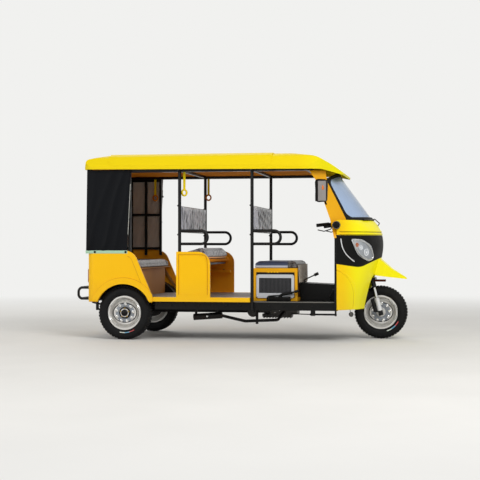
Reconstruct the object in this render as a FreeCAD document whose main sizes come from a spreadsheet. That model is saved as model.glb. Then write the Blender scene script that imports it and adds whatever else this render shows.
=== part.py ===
"""Auto rickshaw: a three-wheeled passenger vehicle with a steered front wheel, two bench seats and a driver's seat.

Millimetres. +X is forward, +Y is the left side, +Z is up. The ground is Z 0, and the origin lies on the ground
below the middle of the vehicle.
"""
import FreeCAD, Part
import math
import os
import re
import Sketcher

doc = FreeCAD.newDocument("auto_rickshaw")
Vector = FreeCAD.Vector
Rotation = FreeCAD.Rotation
Placement = FreeCAD.Placement

# Driving dimensions: name, value, what it measures
SIZES = [
    ("wheel_radius", 265, "tyre, to the tips of the tread blocks"),
    ("tyre_width", 125, "tyre, over its side walls"),
    ("tread_block", 8, "height of a tread block"),
    ("bead_radius", 160, "where tyre and rim meet"),
    ("rim_flange", 9, "height of the rim's flange over the bead"),
    ("rear_axle_x", -1107, "rear axle, along the vehicle"),
    ("wheelbase", 2496, "rear axle to front axle"),
    ("track", 1145, "between the rear tyres' middles"),
    ("hub_radius", 48, "hub at the middle of a wheel"),
    ("hub_half", 50, "half the hub's length"),
    ("axle_radius", 12, "wheel spindle"),
    ("run_gap", 6, "running gap of a moving piece"),
    ("seat_gap", 0.3, "gap between pieces that seat on each other"),
    ("rail_top", 382, "top of the side rails"),
    ("rail_deep", 80, "side rail, height"),
    ("rail_wide", 40, "side rail, width"),
    ("rail_outer", 600, "outer face of the side rails"),
    ("rail_front", 1004, "front end of the side rails"),
    ("rail_rear", -800, "rear end of the side rails"),
    ("spine_outer", 400, "outer face of the rails over the rear springs"),
    ("spine_end", -645, "front end of the rails over the springs"),
    ("joist", 30, "joists below the floor"),
    ("hanger_rear_x", -430, "rear muffler hanger"),
    ("hanger_front_x", -220, "front muffler hanger"),
    ("floor_top", 425, "passenger floor"),
    ("floor_thick", 6, "passenger floor sheet"),
    ("cab_floor_thick", 4, "driver's floor sheet"),
    ("skin_y", 660, "outer face of the body sides"),
    ("wall", 20, "body side, with its inner lining"),
    ("tub_rear", -1481, "rear face of the body"),
    ("tub_bottom", 373, "lower edge of the body"),
    ("tub_top", 887, "upper edge of the body sides"),
    ("tub_corner", 70, "rounding of the rear corners"),
    ("hump_x", -1000, "where the side's top edge turns down"),
    ("plate_hole", 7, "holes for a number plate, in the rear wall"),
    ("plate_pitch", 200, "between those holes"),
    ("plate_height", 600, "those holes, above the ground"),
    ("entry_x", -811, "rear edge of the rear entrance"),
    ("rim_band", 50, "raised band along the body's sloping edge, width"),
    ("bead_proud", 3, "how far raised bands and beads stand out"),
    ("bead_wide", 8, "pressed bead on the middle side panels, width"),
    ("bead_in", 26, "pressed bead, distance in from the panel's edge"),
    ("arch_gap", 22, "between tyre and wheel arch"),
    ("flare_wide", 60, "band round the wheel arch"),
    ("flare_proud", 12, "how far that band stands out"),
    ("sill_end", 159, "front end of the yellow sill"),
    ("mid_panel_rear", -571, "middle seat's side panel, rear edge"),
    ("mid_panel_front", -233, "middle seat's side panel, front edge"),
    ("mid_panel_top", 871, "middle seat's side panel, top"),
    ("mid_panel_round", 125, "its rounded corner"),
    ("pillar_diameter", 32, "roof pillar tube"),
    ("mid_pillar_x", -546, "middle pillars"),
    ("front_pillar_x", 176, "front pillars"),
    ("loop_reach", 280, "hand loop, ahead of its pillar"),
    ("loop_low", 948, "hand loop, lower tube"),
    ("loop_high", 1076, "hand loop, upper tube"),
    ("loop_tube", 28, "hand loop tube"),
    ("back_low", 1050, "backrest, lower edge"),
    ("back_high", 1332, "backrest, upper edge"),
    ("back_thick", 34, "backrest pad"),
    ("rear_seat_top", 783, "rear bench cushion, top"),
    ("rear_seat_deep", 73, "rear bench cushion, thickness"),
    ("rear_seat_front", -935, "rear bench cushion, front edge"),
    ("mid_seat_top", 904, "middle bench cushion, top"),
    ("mid_seat_deep", 88, "middle bench cushion, thickness"),
    ("mid_seat_front", -281, "middle bench cushion, front edge"),
    ("cab_seat_top", 769, "driver's cushion, top"),
    ("cab_seat_deep", 61, "driver's cushion, thickness"),
    ("cab_seat_front", 600, "driver's cushion, front edge"),
    ("cab_frame_rear", 153, "driver's seat frame, rear"),
    ("cab_frame_front", 592, "driver's seat frame, front"),
    ("cab_frame_half", 396, "driver's seat frame, half width"),
    ("frame_tube", 28, "square tube of the seat frames"),
    ("board", 12, "seat board"),
    ("tunnel_half", 165, "centre tunnel, half width"),
    ("tunnel_front", 960, "centre tunnel, front end"),
    ("tunnel_top_rear", 558, "centre tunnel, top at its rear"),
    ("tunnel_top_front", 541, "centre tunnel, top at its front"),
    ("roof_half", 700, "roof, half width"),
    ("roof_thick", 14, "roof shell"),
    ("roof_rear", -1512, "roof, rear edge"),
    ("roof_tip", 1049, "roof, tip of the visor"),
    ("roof_edge_rear", 1686, "roof, lower edge at the rear"),
    ("roof_edge_front", 1667, "roof, lower edge over the windscreen"),
    ("roof_crown", 1838, "roof, highest line"),
    ("roof_step", 9, "roof, raised middle section"),
    ("roof_rail_low", 1655, "roof rails, underside"),
    ("roof_rail_deep", 26, "roof rails, height"),
    ("window_tube", 25, "rear window frame tube"),
    ("window_rear", -1378, "rear window frame, rear post"),
    ("window_pitch", 164.5, "between its posts"),
    ("window_bar", 1268, "its middle bar"),
    ("curtain_thick", 5, "side and rear curtains"),
    ("curtain_low", 861, "curtains, lower edge"),
    ("curtain_rear", -1455, "side curtain, rear edge"),
    ("curtain_front", -1050, "side curtain, front edge"),
    ("cowl_thick", 12, "front cowl shell"),
    ("cowl_rear", 1000, "front cowl, rear edge"),
    ("cowl_half", 640, "front cowl, half width at its rear edge"),
    ("cowl_low", 311, "front cowl, lower edge"),
    ("mask_low", 762, "black mask, lower edge at the side"),
    ("mask_high", 1033, "black mask, upper edge"),
    ("cowl_high", 1178, "front cowl, upper edge below the windscreen"),
    ("wheel_well_half", 240, "opening for the front wheel, half width"),
    ("wheel_well_top", 655, "opening for the front wheel, top"),
    ("door_trim", 20, "black edge strip behind the cowl"),
    ("glass_thick", 5, "windscreen"),
    ("gasket_wide", 22, "windscreen rubber, width of its face"),
    ("gasket_thick", 15, "windscreen rubber, depth"),
    ("firewall_x", 1046, "cab's front wall"),
    ("firewall_thick", 4, "cab's front wall, sheet"),
    ("dash_top", 1052, "shelf below the windscreen"),
    ("rake", 15, "steering axis, degrees from upright"),
    ("fork_offset", 45, "axle ahead of the steering axis"),
    ("fork_half", 95, "fork legs, either side of the wheel"),
    ("fork_tube", 34, "fork leg, upper tube"),
    ("fork_sleeve", 48, "fork leg, lower sleeve"),
    ("fork_spring", 36, "spring behind a fork leg, diameter"),
    ("fork_spring_long", 130, "spring behind a fork leg, length"),
    ("fork_spring_back", 46, "spring behind a fork leg, distance behind it"),
    ("lever_rod", 10, "brake and clutch levers, diameter"),
    ("crown_up", 325, "fork crown, above the axle along the leg"),
    ("crown_thick", 26, "fork crown"),
    ("stem_diameter", 38, "steering stem"),
    ("neck_half", 28, "frame neck, half width"),
    ("head_tube", 62, "steering head tube"),
    ("head_length", 170, "steering head tube, length"),
    ("stem_length", 560, "stem, from the crown to the handlebar clamp"),
    ("bar_diameter", 24, "handlebar tube"),
    ("grip_diameter", 34, "handlebar grip"),
    ("engine_long", 300, "engine, length"),
    ("engine_wide", 260, "engine, width"),
    ("engine_tall", 300, "engine, height"),
    ("engine_low", 236, "engine, underside"),
    ("engine_rear", 262, "engine, rear face"),
    ("axle_tube", 66, "rear axle tube"),
    ("differential", 190, "differential housing, diameter"),
    ("drum_plate", 200, "brake back plate, diameter"),
    ("link_rear", 745, "brake linkage, rear bracket from the middle"),
    ("link_drop", 36, "brake linkage, rod below the rail"),
    ("link_rod_thick", 18, "brake linkage, rod diameter"),
    ("seat_tube", 24, "cross tube under the middle seat, diameter"),
    ("ridge_wide", 13, "ridge across the cowl above the mask, width"),
    ("shaft_diameter", 44, "propeller shaft"),
    ("spring_wide", 50, "leaf spring, width"),
    ("spring_thick", 24, "leaf spring pack"),
    ("spring_half", 400, "leaf spring, eye to axle"),
    ("bumper_tube", 26, "rear bumper tube"),
    ("bumper_rear", -1654, "rear bumper, rearmost"),
    ("bumper_half", 430, "rear bumper, half width to its posts"),
    ("bumper_low", 382, "rear bumper, lower tube"),
    ("bumper_high", 506, "rear bumper, upper tube"),
    ("pipe_diameter", 30, "exhaust pipe"),
    ("muffler_long", 280, "muffler, length"),
    ("muffler_diameter", 64, "muffler"),
    ("lamp_diameter", 76, "round side lamp"),
    ("mirror_y", 735, "mirror housing, middle"),
]

# Derived places: name, expression of the sizes above
PLACES = [
    ("front_axle_x", "rear_axle_x + wheelbase"),
    ("rail_low", "rail_top - rail_deep"),
    ("rail_inner", "rail_outer - rail_wide"),
    ("floor_low", "floor_top - floor_thick"),
    ("step_x", "cab_frame_rear - 3"),
    ("cab_floor_top", "rail_top + cab_floor_thick"),
    ("inner_y", "skin_y - wall"),
    ("tyre_inner_y", "track / 2 - tyre_width / 2"),
    ("arch_radius", "wheel_radius + arch_gap"),
    ("liner_y", "tyre_inner_y - 32"),
    ("pillar_y", "rail_outer + seat_gap + pillar_diameter / 2"),
    ("window_y", "inner_y - seat_gap - window_tube / 2"),
    ("window_mid", "window_rear + window_pitch"),
    ("window_front", "window_rear + 2 * window_pitch"),
    ("roof_rail_top", "roof_rail_low + roof_rail_deep"),
    ("roof_inner_half", "roof_half - roof_thick"),
    ("cab_seat_low", "cab_seat_top - cab_seat_deep"),
    ("mid_seat_low", "mid_seat_top - mid_seat_deep"),
    ("rear_seat_low", "rear_seat_top - rear_seat_deep"),
    ("fork_top_x", "front_axle_x - crown_up * sin(rake)"),
    ("fork_top_z", "wheel_radius + crown_up * cos(rake)"),
    ("crown_x", "fork_top_x - fork_offset * cos(rake)"),
    ("stem_hole_x", "fork_top_x - fork_offset * cos(rake) - 400 * sin(rake)"),
    ("crown_z", "fork_top_z - fork_offset * sin(rake)"),
]
FUNCTIONS = ("sin", "cos", "tan", "sqrt", "abs", "min", "max")

sheet = doc.addObject("Spreadsheet::Sheet", "Size")
for row, (alias, amount, meaning) in enumerate(SIZES, start=1):
    sheet.set(f"A{row}", alias)
    sheet.set(f"B{row}", str(amount))
    sheet.set(f"C{row}", meaning)
    sheet.setAlias(f"B{row}", alias)
doc.recompute()

size_names = {alias for alias, amount, meaning in SIZES}
place_names = {name for name, expression in PLACES}


def bound(expression):
    """Write an expression of plain names as one that the document can hold."""
    def owner(match):
        word = match.group(0)
        if word in size_names:
            return "Size." + word
        if word in place_names:
            return "Place." + word
        return word
    text = re.sub(r"[a-z][a-z_]*", owner, str(expression))
    return re.sub(r"(sin|cos|tan)\(([^()]*)\)", r"\1((\2) * 1deg)", text)


places = doc.addObject("App::VarSet", "Place")
for name, expression in PLACES:
    places.addProperty("App::PropertyFloat", name)
    places.setExpression(name, bound(expression))
    doc.recompute()


def num(expression):
    """The number that an expression of sizes and places stands for."""
    if isinstance(expression, (int, float)):
        return float(expression)
    return float(places.evalExpression(bound(expression)))


def bind(piece, settings):
    """Tie properties of a document object to expressions."""
    for path, expression in settings.items():
        piece.setExpression(path, bound(expression))


def block(x0, x1, y0, y1, z0, z1, label="block"):
    """A box between two values along each axis."""
    box = doc.addObject("Part::Box", label)
    bind(box, {
        "Length": f"({x1}) - ({x0})", "Width": f"({y1}) - ({y0})", "Height": f"({z1}) - ({z0})",
        "Placement.Base.x": x0, "Placement.Base.y": y0, "Placement.Base.z": z0,
    })
    return box


def rod(start, axis, length, diameter, label="rod"):
    """A round bar from a start point along X, Y or Z."""
    turn = {"x": Rotation(Vector(0, 1, 0), 90), "y": Rotation(Vector(1, 0, 0), -90), "z": Rotation()}[axis]
    bar = doc.addObject("Part::Cylinder", label)
    bar.Placement = Placement(Vector(), turn)
    bind(bar, {
        "Radius": f"({diameter}) / 2", "Height": length,
        "Placement.Base.x": start[0], "Placement.Base.y": start[1], "Placement.Base.z": start[2],
    })
    return bar


def strut(start, end, diameter, label="strut"):
    """A round bar between two points in space."""
    first = Vector(*[num(value) for value in start])
    last = Vector(*[num(value) for value in end])
    shape = Part.makeCylinder(num(diameter) / 2, (last - first).Length, first, last - first)
    return feature(label, shape)


def feature(label, shape):
    """A free shape worked out from the sizes."""
    piece = doc.addObject("Part::Feature", label)
    piece.Shape = shape
    return piece


def mirrored(source):
    """The same piece on the other side of the vehicle."""
    copy = doc.addObject("Part::Mirroring", source.Name + "_other_side")
    copy.Source = source
    copy.Normal = Vector(0, 1, 0)
    return copy


def both(*pieces):
    """Each piece and its mirror image."""
    return [side for piece in pieces for side in (piece, mirrored(piece))]


def joined(label, pieces):
    """One solid from touching pieces."""
    whole = doc.addObject("Part::MultiFuse", label)
    whole.Shapes = list(pieces)
    whole.Refine = True
    return whole


def grouped(label, pieces):
    """Separate solids under one name."""
    whole = doc.addObject("Part::Compound", label)
    whole.Links = list(pieces)
    return whole


def less(label, base, *tools):
    """A piece with others cut out of it."""
    tool = tools[0] if len(tools) == 1 else joined(label + "_cutters", tools)
    whole = doc.addObject("Part::Cut", label)
    whole.Base = base
    whole.Tool = tool
    return whole


def shared(label, *pieces):
    """What several pieces have in common."""
    whole = doc.addObject("Part::MultiCommon", label)
    whole.Shapes = list(pieces)
    return whole


# Sketch planes: role of the plane, sign that turns a world place into the plane's offset
PLANES = {"top": ("XY_Plane", 1), "side": ("XZ_Plane", -1), "front": ("YZ_Plane", 1)}


def plane_of(body, view):
    role = PLANES[view][0]
    return [item for item in body.Origin.OriginFeatures if item.Role == role][0]


def sketch_on(body, view, level):
    """An empty sketch seen from the top (X, Y), side (X, Z) or front (Y, Z), at a level along the third axis."""
    sketch = body.newObject("Sketcher::SketchObject", "outline")
    sketch.AttachmentSupport = [(plane_of(body, view), "")]
    sketch.MapMode = "FlatFace"
    sign = "" if PLANES[view][1] > 0 else "-"
    bind(sketch, {"AttachmentOffset.Base.z": f"{sign}({level})"})
    return sketch


def draw(sketch, corners, closed=True):
    """Draw a chain of lines through corners (across, up, rounding), each rounding as a tangent arc."""
    spots = [Vector(num(across), num(up), 0) for across, up, rounding in corners]
    radii = [num(rounding) for across, up, rounding in corners]
    count = len(corners)
    inner = range(count) if closed else range(1, count - 1)
    leave = list(spots)
    reach = list(spots)
    arcs = {}
    for index in inner:
        if radii[index] <= 0:
            continue
        spot = spots[index]
        back = (spots[index - 1] - spot).normalize()
        ahead = (spots[(index + 1) % count] - spot).normalize()
        half = back.getAngle(ahead) / 2
        run = radii[index] / math.tan(half)
        reach[index] = spot + back * run
        leave[index] = spot + ahead * run
        middle = (back + ahead).normalize()
        top = spot + middle * (radii[index] / math.sin(half) - radii[index])
        arcs[index] = Part.Arc(reach[index], top, leave[index])
    lines = {}
    for index in range(count if closed else count - 1):
        after = (index + 1) % count
        lines[index] = sketch.addGeometry(Part.LineSegment(leave[index], reach[after]))
    rules = []
    for index, (across, up, rounding) in enumerate(corners):
        before = (index - 1) % count
        if index in arcs:
            arc = sketch.addGeometry(arcs[index])
            spot = sketch.addGeometry(Part.Point(spots[index]), True)
            start_end = arc_ends(sketch, arc, reach[index])
            sketch.addConstraint(Sketcher.Constraint("Tangent", lines[before], 2, arc, start_end[0]))
            sketch.addConstraint(Sketcher.Constraint("Tangent", arc, start_end[1], lines[index], 1))
            sketch.addConstraint(Sketcher.Constraint("PointOnObject", spot, 1, lines[before]))
            sketch.addConstraint(Sketcher.Constraint("PointOnObject", spot, 1, lines[index]))
            sketch.addConstraint(Sketcher.Constraint("Radius", arc, radii[index]))
            rules.append((sketch.ConstraintCount - 1, rounding))
            holder = (spot, 1)
        elif closed or 0 < index < count - 1:
            sketch.addConstraint(Sketcher.Constraint("Coincident", lines[before], 2, lines[index], 1))
            holder = (lines[index], 1)
        else:
            holder = (lines[0], 1) if index == 0 else (lines[count - 2], 2)
        for kind, amount in (("DistanceX", across), ("DistanceY", up)):
            sketch.addConstraint(Sketcher.Constraint(kind, -1, 1, holder[0], holder[1], num(amount)))
            rules.append((sketch.ConstraintCount - 1, amount))
    for number, amount in rules:
        bind(sketch, {f"Constraints[{number}]": amount})
    return sketch


def arc_ends(sketch, arc, first):
    """Which end of a sketch's arc lies at a point, and which is the other."""
    near = (sketch.getPoint(arc, 1) - first).Length < (sketch.getPoint(arc, 2) - first).Length
    return (1, 2) if near else (2, 1)


def plate(view, low, high, corners, holes=(), label="plate"):
    """A flat piece: an outline seen from the top, side or front, as thick as low to high along the third axis."""
    body = doc.addObject("PartDesign::Body", label)
    sketch = sketch_on(body, view, low)
    draw(sketch, corners)
    for hole in holes:
        draw(sketch, hole)
    pad = body.newObject("PartDesign::Pad", "thickness")
    pad.Profile = sketch
    pad.Reversed = view == "side"
    bind(pad, {"Length": f"({high}) - ({low})"})
    return body


def tube(view, level, route, diameter, label="tube"):
    """A bent round tube whose route lies in one plane and starts along one of the plane's axes."""
    body = doc.addObject("PartDesign::Body", label)
    spine = draw(sketch_on(body, view, level), route, closed=False)
    (across, up, rounding), (next_across, next_up, next_rounding) = route[:2]
    along_across = abs(num(next_up) - num(up)) < 1e-6
    section_view, centre, stand = {
        ("side", True): ("front", (level, up), across),
        ("side", False): ("top", (across, level), up),
        ("top", True): ("front", (up, level), across),
        ("top", False): ("side", (across, level), up),
        ("front", True): ("side", (level, up), across),
        ("front", False): ("top", (level, across), up),
    }[(view, along_across)]
    section = sketch_on(body, section_view, stand)
    middle = Vector(num(centre[0]), num(centre[1]), 0)
    ring = section.addGeometry(Part.Circle(middle, Vector(0, 0, 1), num(diameter) / 2))
    section.addConstraint(Sketcher.Constraint("Radius", ring, num(diameter) / 2))
    bind(section, {"Constraints[0]": f"({diameter}) / 2"})
    for kind, amount in (("DistanceX", centre[0]), ("DistanceY", centre[1])):
        section.addConstraint(Sketcher.Constraint(kind, -1, 1, ring, 3, num(amount)))
        bind(section, {f"Constraints[{section.ConstraintCount - 1}]": amount})
    doc.recompute()
    sweep = body.newObject("PartDesign::AdditivePipe", "sweep")
    sweep.Profile = section
    sweep.Spine = (spine, [f"Edge{number + 1}" for number in range(len(spine.Shape.Edges))])
    return body


def bent_bar(points, bend, diameter, label="bar"):
    """A round bar through points in space, with tangent arcs of one radius at its turns."""
    spots = [Vector(*[num(value) for value in point]) for point in points]
    edges = []
    start = spots[0]
    for before, spot, after in zip(spots, spots[1:], spots[2:]):
        back = (before - spot).normalize()
        ahead = (after - spot).normalize()
        half = back.getAngle(ahead) / 2
        run = num(bend) / math.tan(half)
        top = spot + (back + ahead).normalize() * (num(bend) / math.sin(half) - num(bend))
        edges.append(Part.LineSegment(start, spot + back * run).toShape())
        edges.append(Part.Arc(spot + back * run, top, spot + ahead * run).toShape())
        start = spot + ahead * run
    edges.append(Part.LineSegment(start, spots[-1]).toShape())
    path = Part.Wire(edges)
    ring = Part.Wire(Part.Circle(spots[0], spots[1] - spots[0], num(diameter) / 2).toShape())
    return feature(label, path.makePipeShell([ring], True, False))


nodes = []


def node(name, piece):
    """Name a finished sub-part."""
    piece.Label = name
    nodes.append(piece)
    return piece


# Chassis frame: two side rails, cross members, and the narrower rear rails over the springs
CROSS_MEMBERS = [
    # x, width along the vehicle, half length, bottom, top
    ("spine_end - rail_wide", "rail_wide", "rail_outer", "rail_low", "rail_top"),
    ("hanger_rear_x - rail_wide / 2", "rail_wide", "rail_outer", "rail_low", "rail_top"),
    ("hanger_front_x - rail_wide / 2", "rail_wide", "rail_outer", "rail_low", "rail_top"),
    ("front_pillar_x - 20", "rail_wide", "rail_outer", "rail_low", "rail_top"),
    ("rail_front - rail_wide", "rail_wide", "rail_outer", "rail_low", "rail_top"),
    ("tub_rear + wall + seat_gap", "joist", "spine_outer", "rail_top", "floor_low"),
    ("spine_end - joist", "joist", "rail_outer", "rail_top", "floor_low"),
    (-300, "joist", "rail_outer", "rail_top", "floor_low"),
    (60, "joist", "rail_outer", "rail_top", "floor_low"),
]
rails = both(
    block("rail_rear", "rail_front", "rail_inner", "rail_outer", "rail_low", "rail_top"),
    block("tub_rear + wall + seat_gap", "spine_end", "spine_outer - rail_wide", "spine_outer", "rail_top",
          "floor_low"),
)
crosses = [
    block(x, f"({x}) + {wide}", f"-({half})", half, low, high)
    for x, wide, half, low, high in CROSS_MEMBERS
]
bearers = [
    block(f"engine_rear + {x}", f"engine_rear + {x} + 30", "-(rail_inner)", "rail_inner", "rail_low", "rail_low + 30")
    for x in (40, 230)
]
engine_room = block("engine_rear - seat_gap", "engine_rear + engine_long + seat_gap",
                    "-(engine_wide / 2 + seat_gap)", "engine_wide / 2 + seat_gap", "engine_low - 5", "rail_top")
node("chassis_frame", less("chassis", joined("chassis_welded", rails + crosses + bearers), engine_room))

# Passenger floor: narrow between the rear wheels, wide ahead of them
node("passenger_floor", plate("top", "floor_low", "floor_top", [
    ("tub_rear + wall + seat_gap", "-(liner_y - 5)", 0), ("rail_rear + 10", "-(liner_y - 5)", 0),
    ("rail_rear + 10", "-(rail_outer)", 0), ("step_x", "-(rail_outer)", 0),
    ("step_x", "rail_outer", 0), ("rail_rear + 10", "rail_outer", 0),
    ("rail_rear + 10", "liner_y - 5", 0), ("tub_rear + wall + seat_gap", "liner_y - 5", 0),
]))

# Sills: a yellow box section outside each side of the passenger floor
node("sills", grouped("sill_pair", both(
    block("entry_x", "sill_end", "rail_outer + seat_gap", "skin_y", "rail_top", "floor_top"))))

# Driver's floor, centre tunnel and the front wall of the cab
cab_sheet = plate("top", "rail_top", "cab_floor_top", [
    ("step_x + seat_gap", "-(rail_outer)", 0), ("cowl_rear - 10", "-(rail_outer)", 0),
    ("firewall_x", "-(rail_inner)", 0), ("firewall_x", "rail_inner", 0),
    ("cowl_rear - 10", "rail_outer", 0), ("step_x + seat_gap", "rail_outer", 0),
])
engine_hatch = block("engine_rear - 12", "engine_rear + engine_long + 12", "-(engine_wide / 2 + 12)",
                     "engine_wide / 2 + 12", "rail_top - 5", "cab_floor_top + 5")
neck_room = block("rail_front", "firewall_x + 20", "-(neck_half + run_gap)", "neck_half + run_gap", "rail_low", 660)
node("cab_floor", less("cab_floor_sheet", cab_sheet, engine_hatch, neck_room))
tunnel_skin = plate("side", "-(tunnel_half)", "tunnel_half", [
    ("cab_frame_front + seat_gap", "cab_floor_top", 0), ("tunnel_front", "cab_floor_top", 0),
    ("tunnel_front", "tunnel_top_front", 20), ("cab_frame_front + seat_gap", "tunnel_top_rear", 0),
])
tunnel_hollow = plate("side", "-(tunnel_half - cab_floor_thick)", "tunnel_half - cab_floor_thick", [
    ("cab_frame_front - 10", "cab_floor_top - 10", 0), ("tunnel_front - cab_floor_thick", "cab_floor_top - 10", 0),
    ("tunnel_front - cab_floor_thick", "tunnel_top_front - cab_floor_thick", 16),
    ("cab_frame_front - 10", "tunnel_top_rear - cab_floor_thick", 0),
])
tunnel = node("centre_tunnel", less("tunnel", tunnel_skin, tunnel_hollow))

# Rear body: one moulded tub, open at the front, with the sides cut to the hump and the wheel arches
tub_ring = plate("top", "tub_bottom", "tub_top", [
    ("entry_x", "-(skin_y)", 0), ("entry_x", "-(inner_y)", 0), ("tub_rear + wall", "-(inner_y)", "tub_corner - wall"),
    ("tub_rear + wall", "inner_y", "tub_corner - wall"), ("entry_x", "inner_y", 0), ("entry_x", "skin_y", 0),
    ("tub_rear", "skin_y", "tub_corner"), ("tub_rear", "-(skin_y)", "tub_corner"),
])
tub_outline = [
    ("tub_rear - 10", "tub_bottom", 0), ("entry_x", "tub_bottom", 0), ("entry_x", "floor_top + 3", 0),
    ("hump_x", "tub_top - 20", 130), ("hump_x - 110", "tub_top", 0), ("tub_rear - 10", "tub_top", 0),
]
tub_side = plate("side", "-(skin_y) - 50", "skin_y + 50", tub_outline)
arch_hole = rod(("rear_axle_x", "-(skin_y) - 50", "wheel_radius"), "y", "2 * (skin_y + 50)", "2 * arch_radius")
rear_under = block("rear_axle_x", "entry_x + 10", "-(skin_y) - 50", "skin_y + 50", "tub_bottom - 10", "rail_top")
tub_shell = less("tub_shell", shared("tub_form", tub_ring, tub_side), arch_hole, rear_under)
flare = less("flare",
             rod(("rear_axle_x", "skin_y - 1", "wheel_radius"), "y", "flare_proud + 1", "2 * (arch_radius + flare_wide)"),
             rod(("rear_axle_x", "skin_y - 2", "wheel_radius"), "y", "flare_proud + 5", "2 * arch_radius"),
             block("rear_axle_x - 400", "rear_axle_x + 400", "skin_y - 2", "skin_y + flare_proud + 2", -100, "rail_top"),
             block("entry_x", "rear_axle_x + 400", "skin_y - 2", "skin_y + flare_proud + 2", -100, "tub_top"))
rim_band = less("rim_band", plate("side", "skin_y - 1", "skin_y + bead_proud", tub_outline),
                plate("side", "skin_y - 2", "skin_y + bead_proud + 1", [
                    ("tub_rear - 20", "tub_bottom - 10", 0), ("entry_x - rim_band + 4", "tub_bottom - 10", 0),
                    ("entry_x - rim_band + 4", "floor_top - 17", 0), ("hump_x - 36", "tub_top - rim_band - 14", 80),
                    ("hump_x - 119", "tub_top - rim_band + 1", 0), ("tub_rear - 20", "tub_top - rim_band + 1", 0),
                ]),
                block("tub_rear - 20", "curtain_front + 4", "skin_y - 2", "skin_y + 20", "tub_bottom", "tub_top + 5"),
                arch_hole)
plate_holes = both(rod(("tub_rear - 5", "plate_pitch / 2", "plate_height"), "x", "wall + 10", "plate_hole"))
node("rear_body", less("rear_tub", joined("rear_tub_whole", [tub_shell] + both(flare, rim_band)), *plate_holes))

# Wheel housings: a curved inner wing over each rear wheel, closed towards the seats
housing_outer = rod(("rear_axle_x", "liner_y", "wheel_radius"), "y", "inner_y - seat_gap - liner_y",
                    "2 * (arch_radius + 4)")
housing_inner = rod(("rear_axle_x", "liner_y + 4", "wheel_radius"), "y", "inner_y - liner_y", "2 * arch_radius")
housing_low = block("rear_axle_x - 400", "rear_axle_x + 400", "liner_y - 5", "skin_y + 5", -100, "rail_top")
node("wheel_housings", grouped("housing_pair", both(less("housing", housing_outer, housing_inner, housing_low))))

# Rear bench: front board, top board and cleats
rear_board = block("tub_rear + tub_corner", "rear_seat_front - 10", "-(inner_y - 5)", "inner_y - 5",
                   "rear_seat_low - board - seat_gap", "rear_seat_low - seat_gap")
rear_front = block("rear_seat_front - 40", "rear_seat_front - 40 + board", "-(liner_y - 2)", "liner_y - 2",
                   "floor_top", "rear_seat_low - board")
brace_top = "rear_seat_low - board - seat_gap"
rear_braces = both(plate("side", "inner_y - 27", "inner_y - seat_gap", [
    ("rear_seat_front - 99", brace_top, 0), ("rear_axle_x + 239", "wheel_radius + 175", 0),
    ("rear_axle_x + 265", "wheel_radius + 175", 0), ("rear_seat_front - 73", brace_top, 0),
]))
node("rear_seat_base", joined("rear_bench", [rear_board, rear_front] + rear_braces))

# Middle bench: yellow side panels, and a frame that carries the board
def mid_panel(inset, low, high):
    """The middle seat's side panel, shrunk by an inset."""
    return plate("side", low, high, [
        (f"mid_panel_rear + {inset}", f"floor_top + {inset}", 0),
        (f"mid_panel_front - {inset}", f"floor_top + {inset}", 0),
        (f"mid_panel_front - {inset}", f"mid_panel_top - {inset}", f"mid_panel_round - {inset}"),
        (f"mid_panel_rear + {inset}", f"mid_panel_top - {inset}", 6),
    ])


mid_bead = less("mid_bead", mid_panel("bead_in", "skin_y - 1", "skin_y + bead_proud"),
                mid_panel("(bead_in + bead_wide)", "skin_y - 2", "skin_y + bead_proud + 1"))
node("mid_seat_sides", grouped("mid_sides", both(joined("mid_side", [mid_panel(0, "inner_y", "skin_y"), mid_bead]))))
mid_board = block("mid_panel_rear + 20", "mid_seat_front - 15", "-(inner_y - pillar_diameter - 12)",
                  "inner_y - pillar_diameter - 12", "mid_seat_low - board - seat_gap", "mid_seat_low - seat_gap")
mid_back = block("mid_panel_rear + 20", "mid_panel_rear + 20 + frame_tube", "-(inner_y - pillar_diameter - 12)",
                 "inner_y - pillar_diameter - 12", "floor_top", "mid_seat_low - board")
mid_rails = both(
    block("mid_panel_rear + 20", "mid_panel_front - 60", "inner_y - pillar_diameter - 12 - frame_tube",
          "inner_y - seat_gap", "mid_seat_low - board - frame_tube", "mid_seat_low - board"),
    block("mid_panel_rear + 20", "mid_panel_front - 30", "inner_y - pillar_diameter - 12 - frame_tube",
          "inner_y - seat_gap", 640, "640 + frame_tube"),
)
tube_reach = "inner_y - pillar_diameter - 12 - frame_tube - seat_gap"
node("mid_seat_tubes", grouped("seat_tubes", [
    rod((x, f"-({tube_reach})", "mid_seat_low - board - seat_tube / 2 - 1"), "y", f"2 * ({tube_reach})", "seat_tube")
    for x in ("mid_panel_rear + 150", "mid_seat_front - 40")]))
mid_pillar_room = both(rod(("mid_pillar_x", "pillar_y", "floor_top - 5"), "z", 600,
                           "pillar_diameter + 2 * seat_gap"))
node("mid_seat_frame", less("mid_bench", joined("mid_bench_frame", [mid_board, mid_back] + mid_rails),
                            *mid_pillar_room))

# Driver's seat: a frame of square tube with a board, and the cooling grille in its right side
FRAME_POSTS = [
    # x, y of each upright's lower corner
    ("cab_frame_rear", "-(cab_frame_half)"), ("cab_frame_front - frame_tube", "-(cab_frame_half)"),
    ("cab_frame_rear", "cab_frame_half - frame_tube"),
    ("cab_frame_front - frame_tube", "cab_frame_half - frame_tube"),
]
cab_posts = [
    block(x, f"{x} + frame_tube", y, f"{y} + frame_tube", "cab_floor_top", "cab_seat_low - board")
    for x, y in FRAME_POSTS
]
cab_rings = [
    less("cab_ring",
         block("cab_frame_rear", "cab_frame_front", "-(cab_frame_half)", "cab_frame_half", low, f"{low} + frame_tube"),
         block("cab_frame_rear + frame_tube", "cab_frame_front - frame_tube", "-(cab_frame_half - frame_tube)",
               "cab_frame_half - frame_tube", f"{low} - 1", f"{low} + frame_tube + 1"))
    for low in ("cab_floor_top", "cab_seat_low - board - frame_tube")
]
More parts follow.
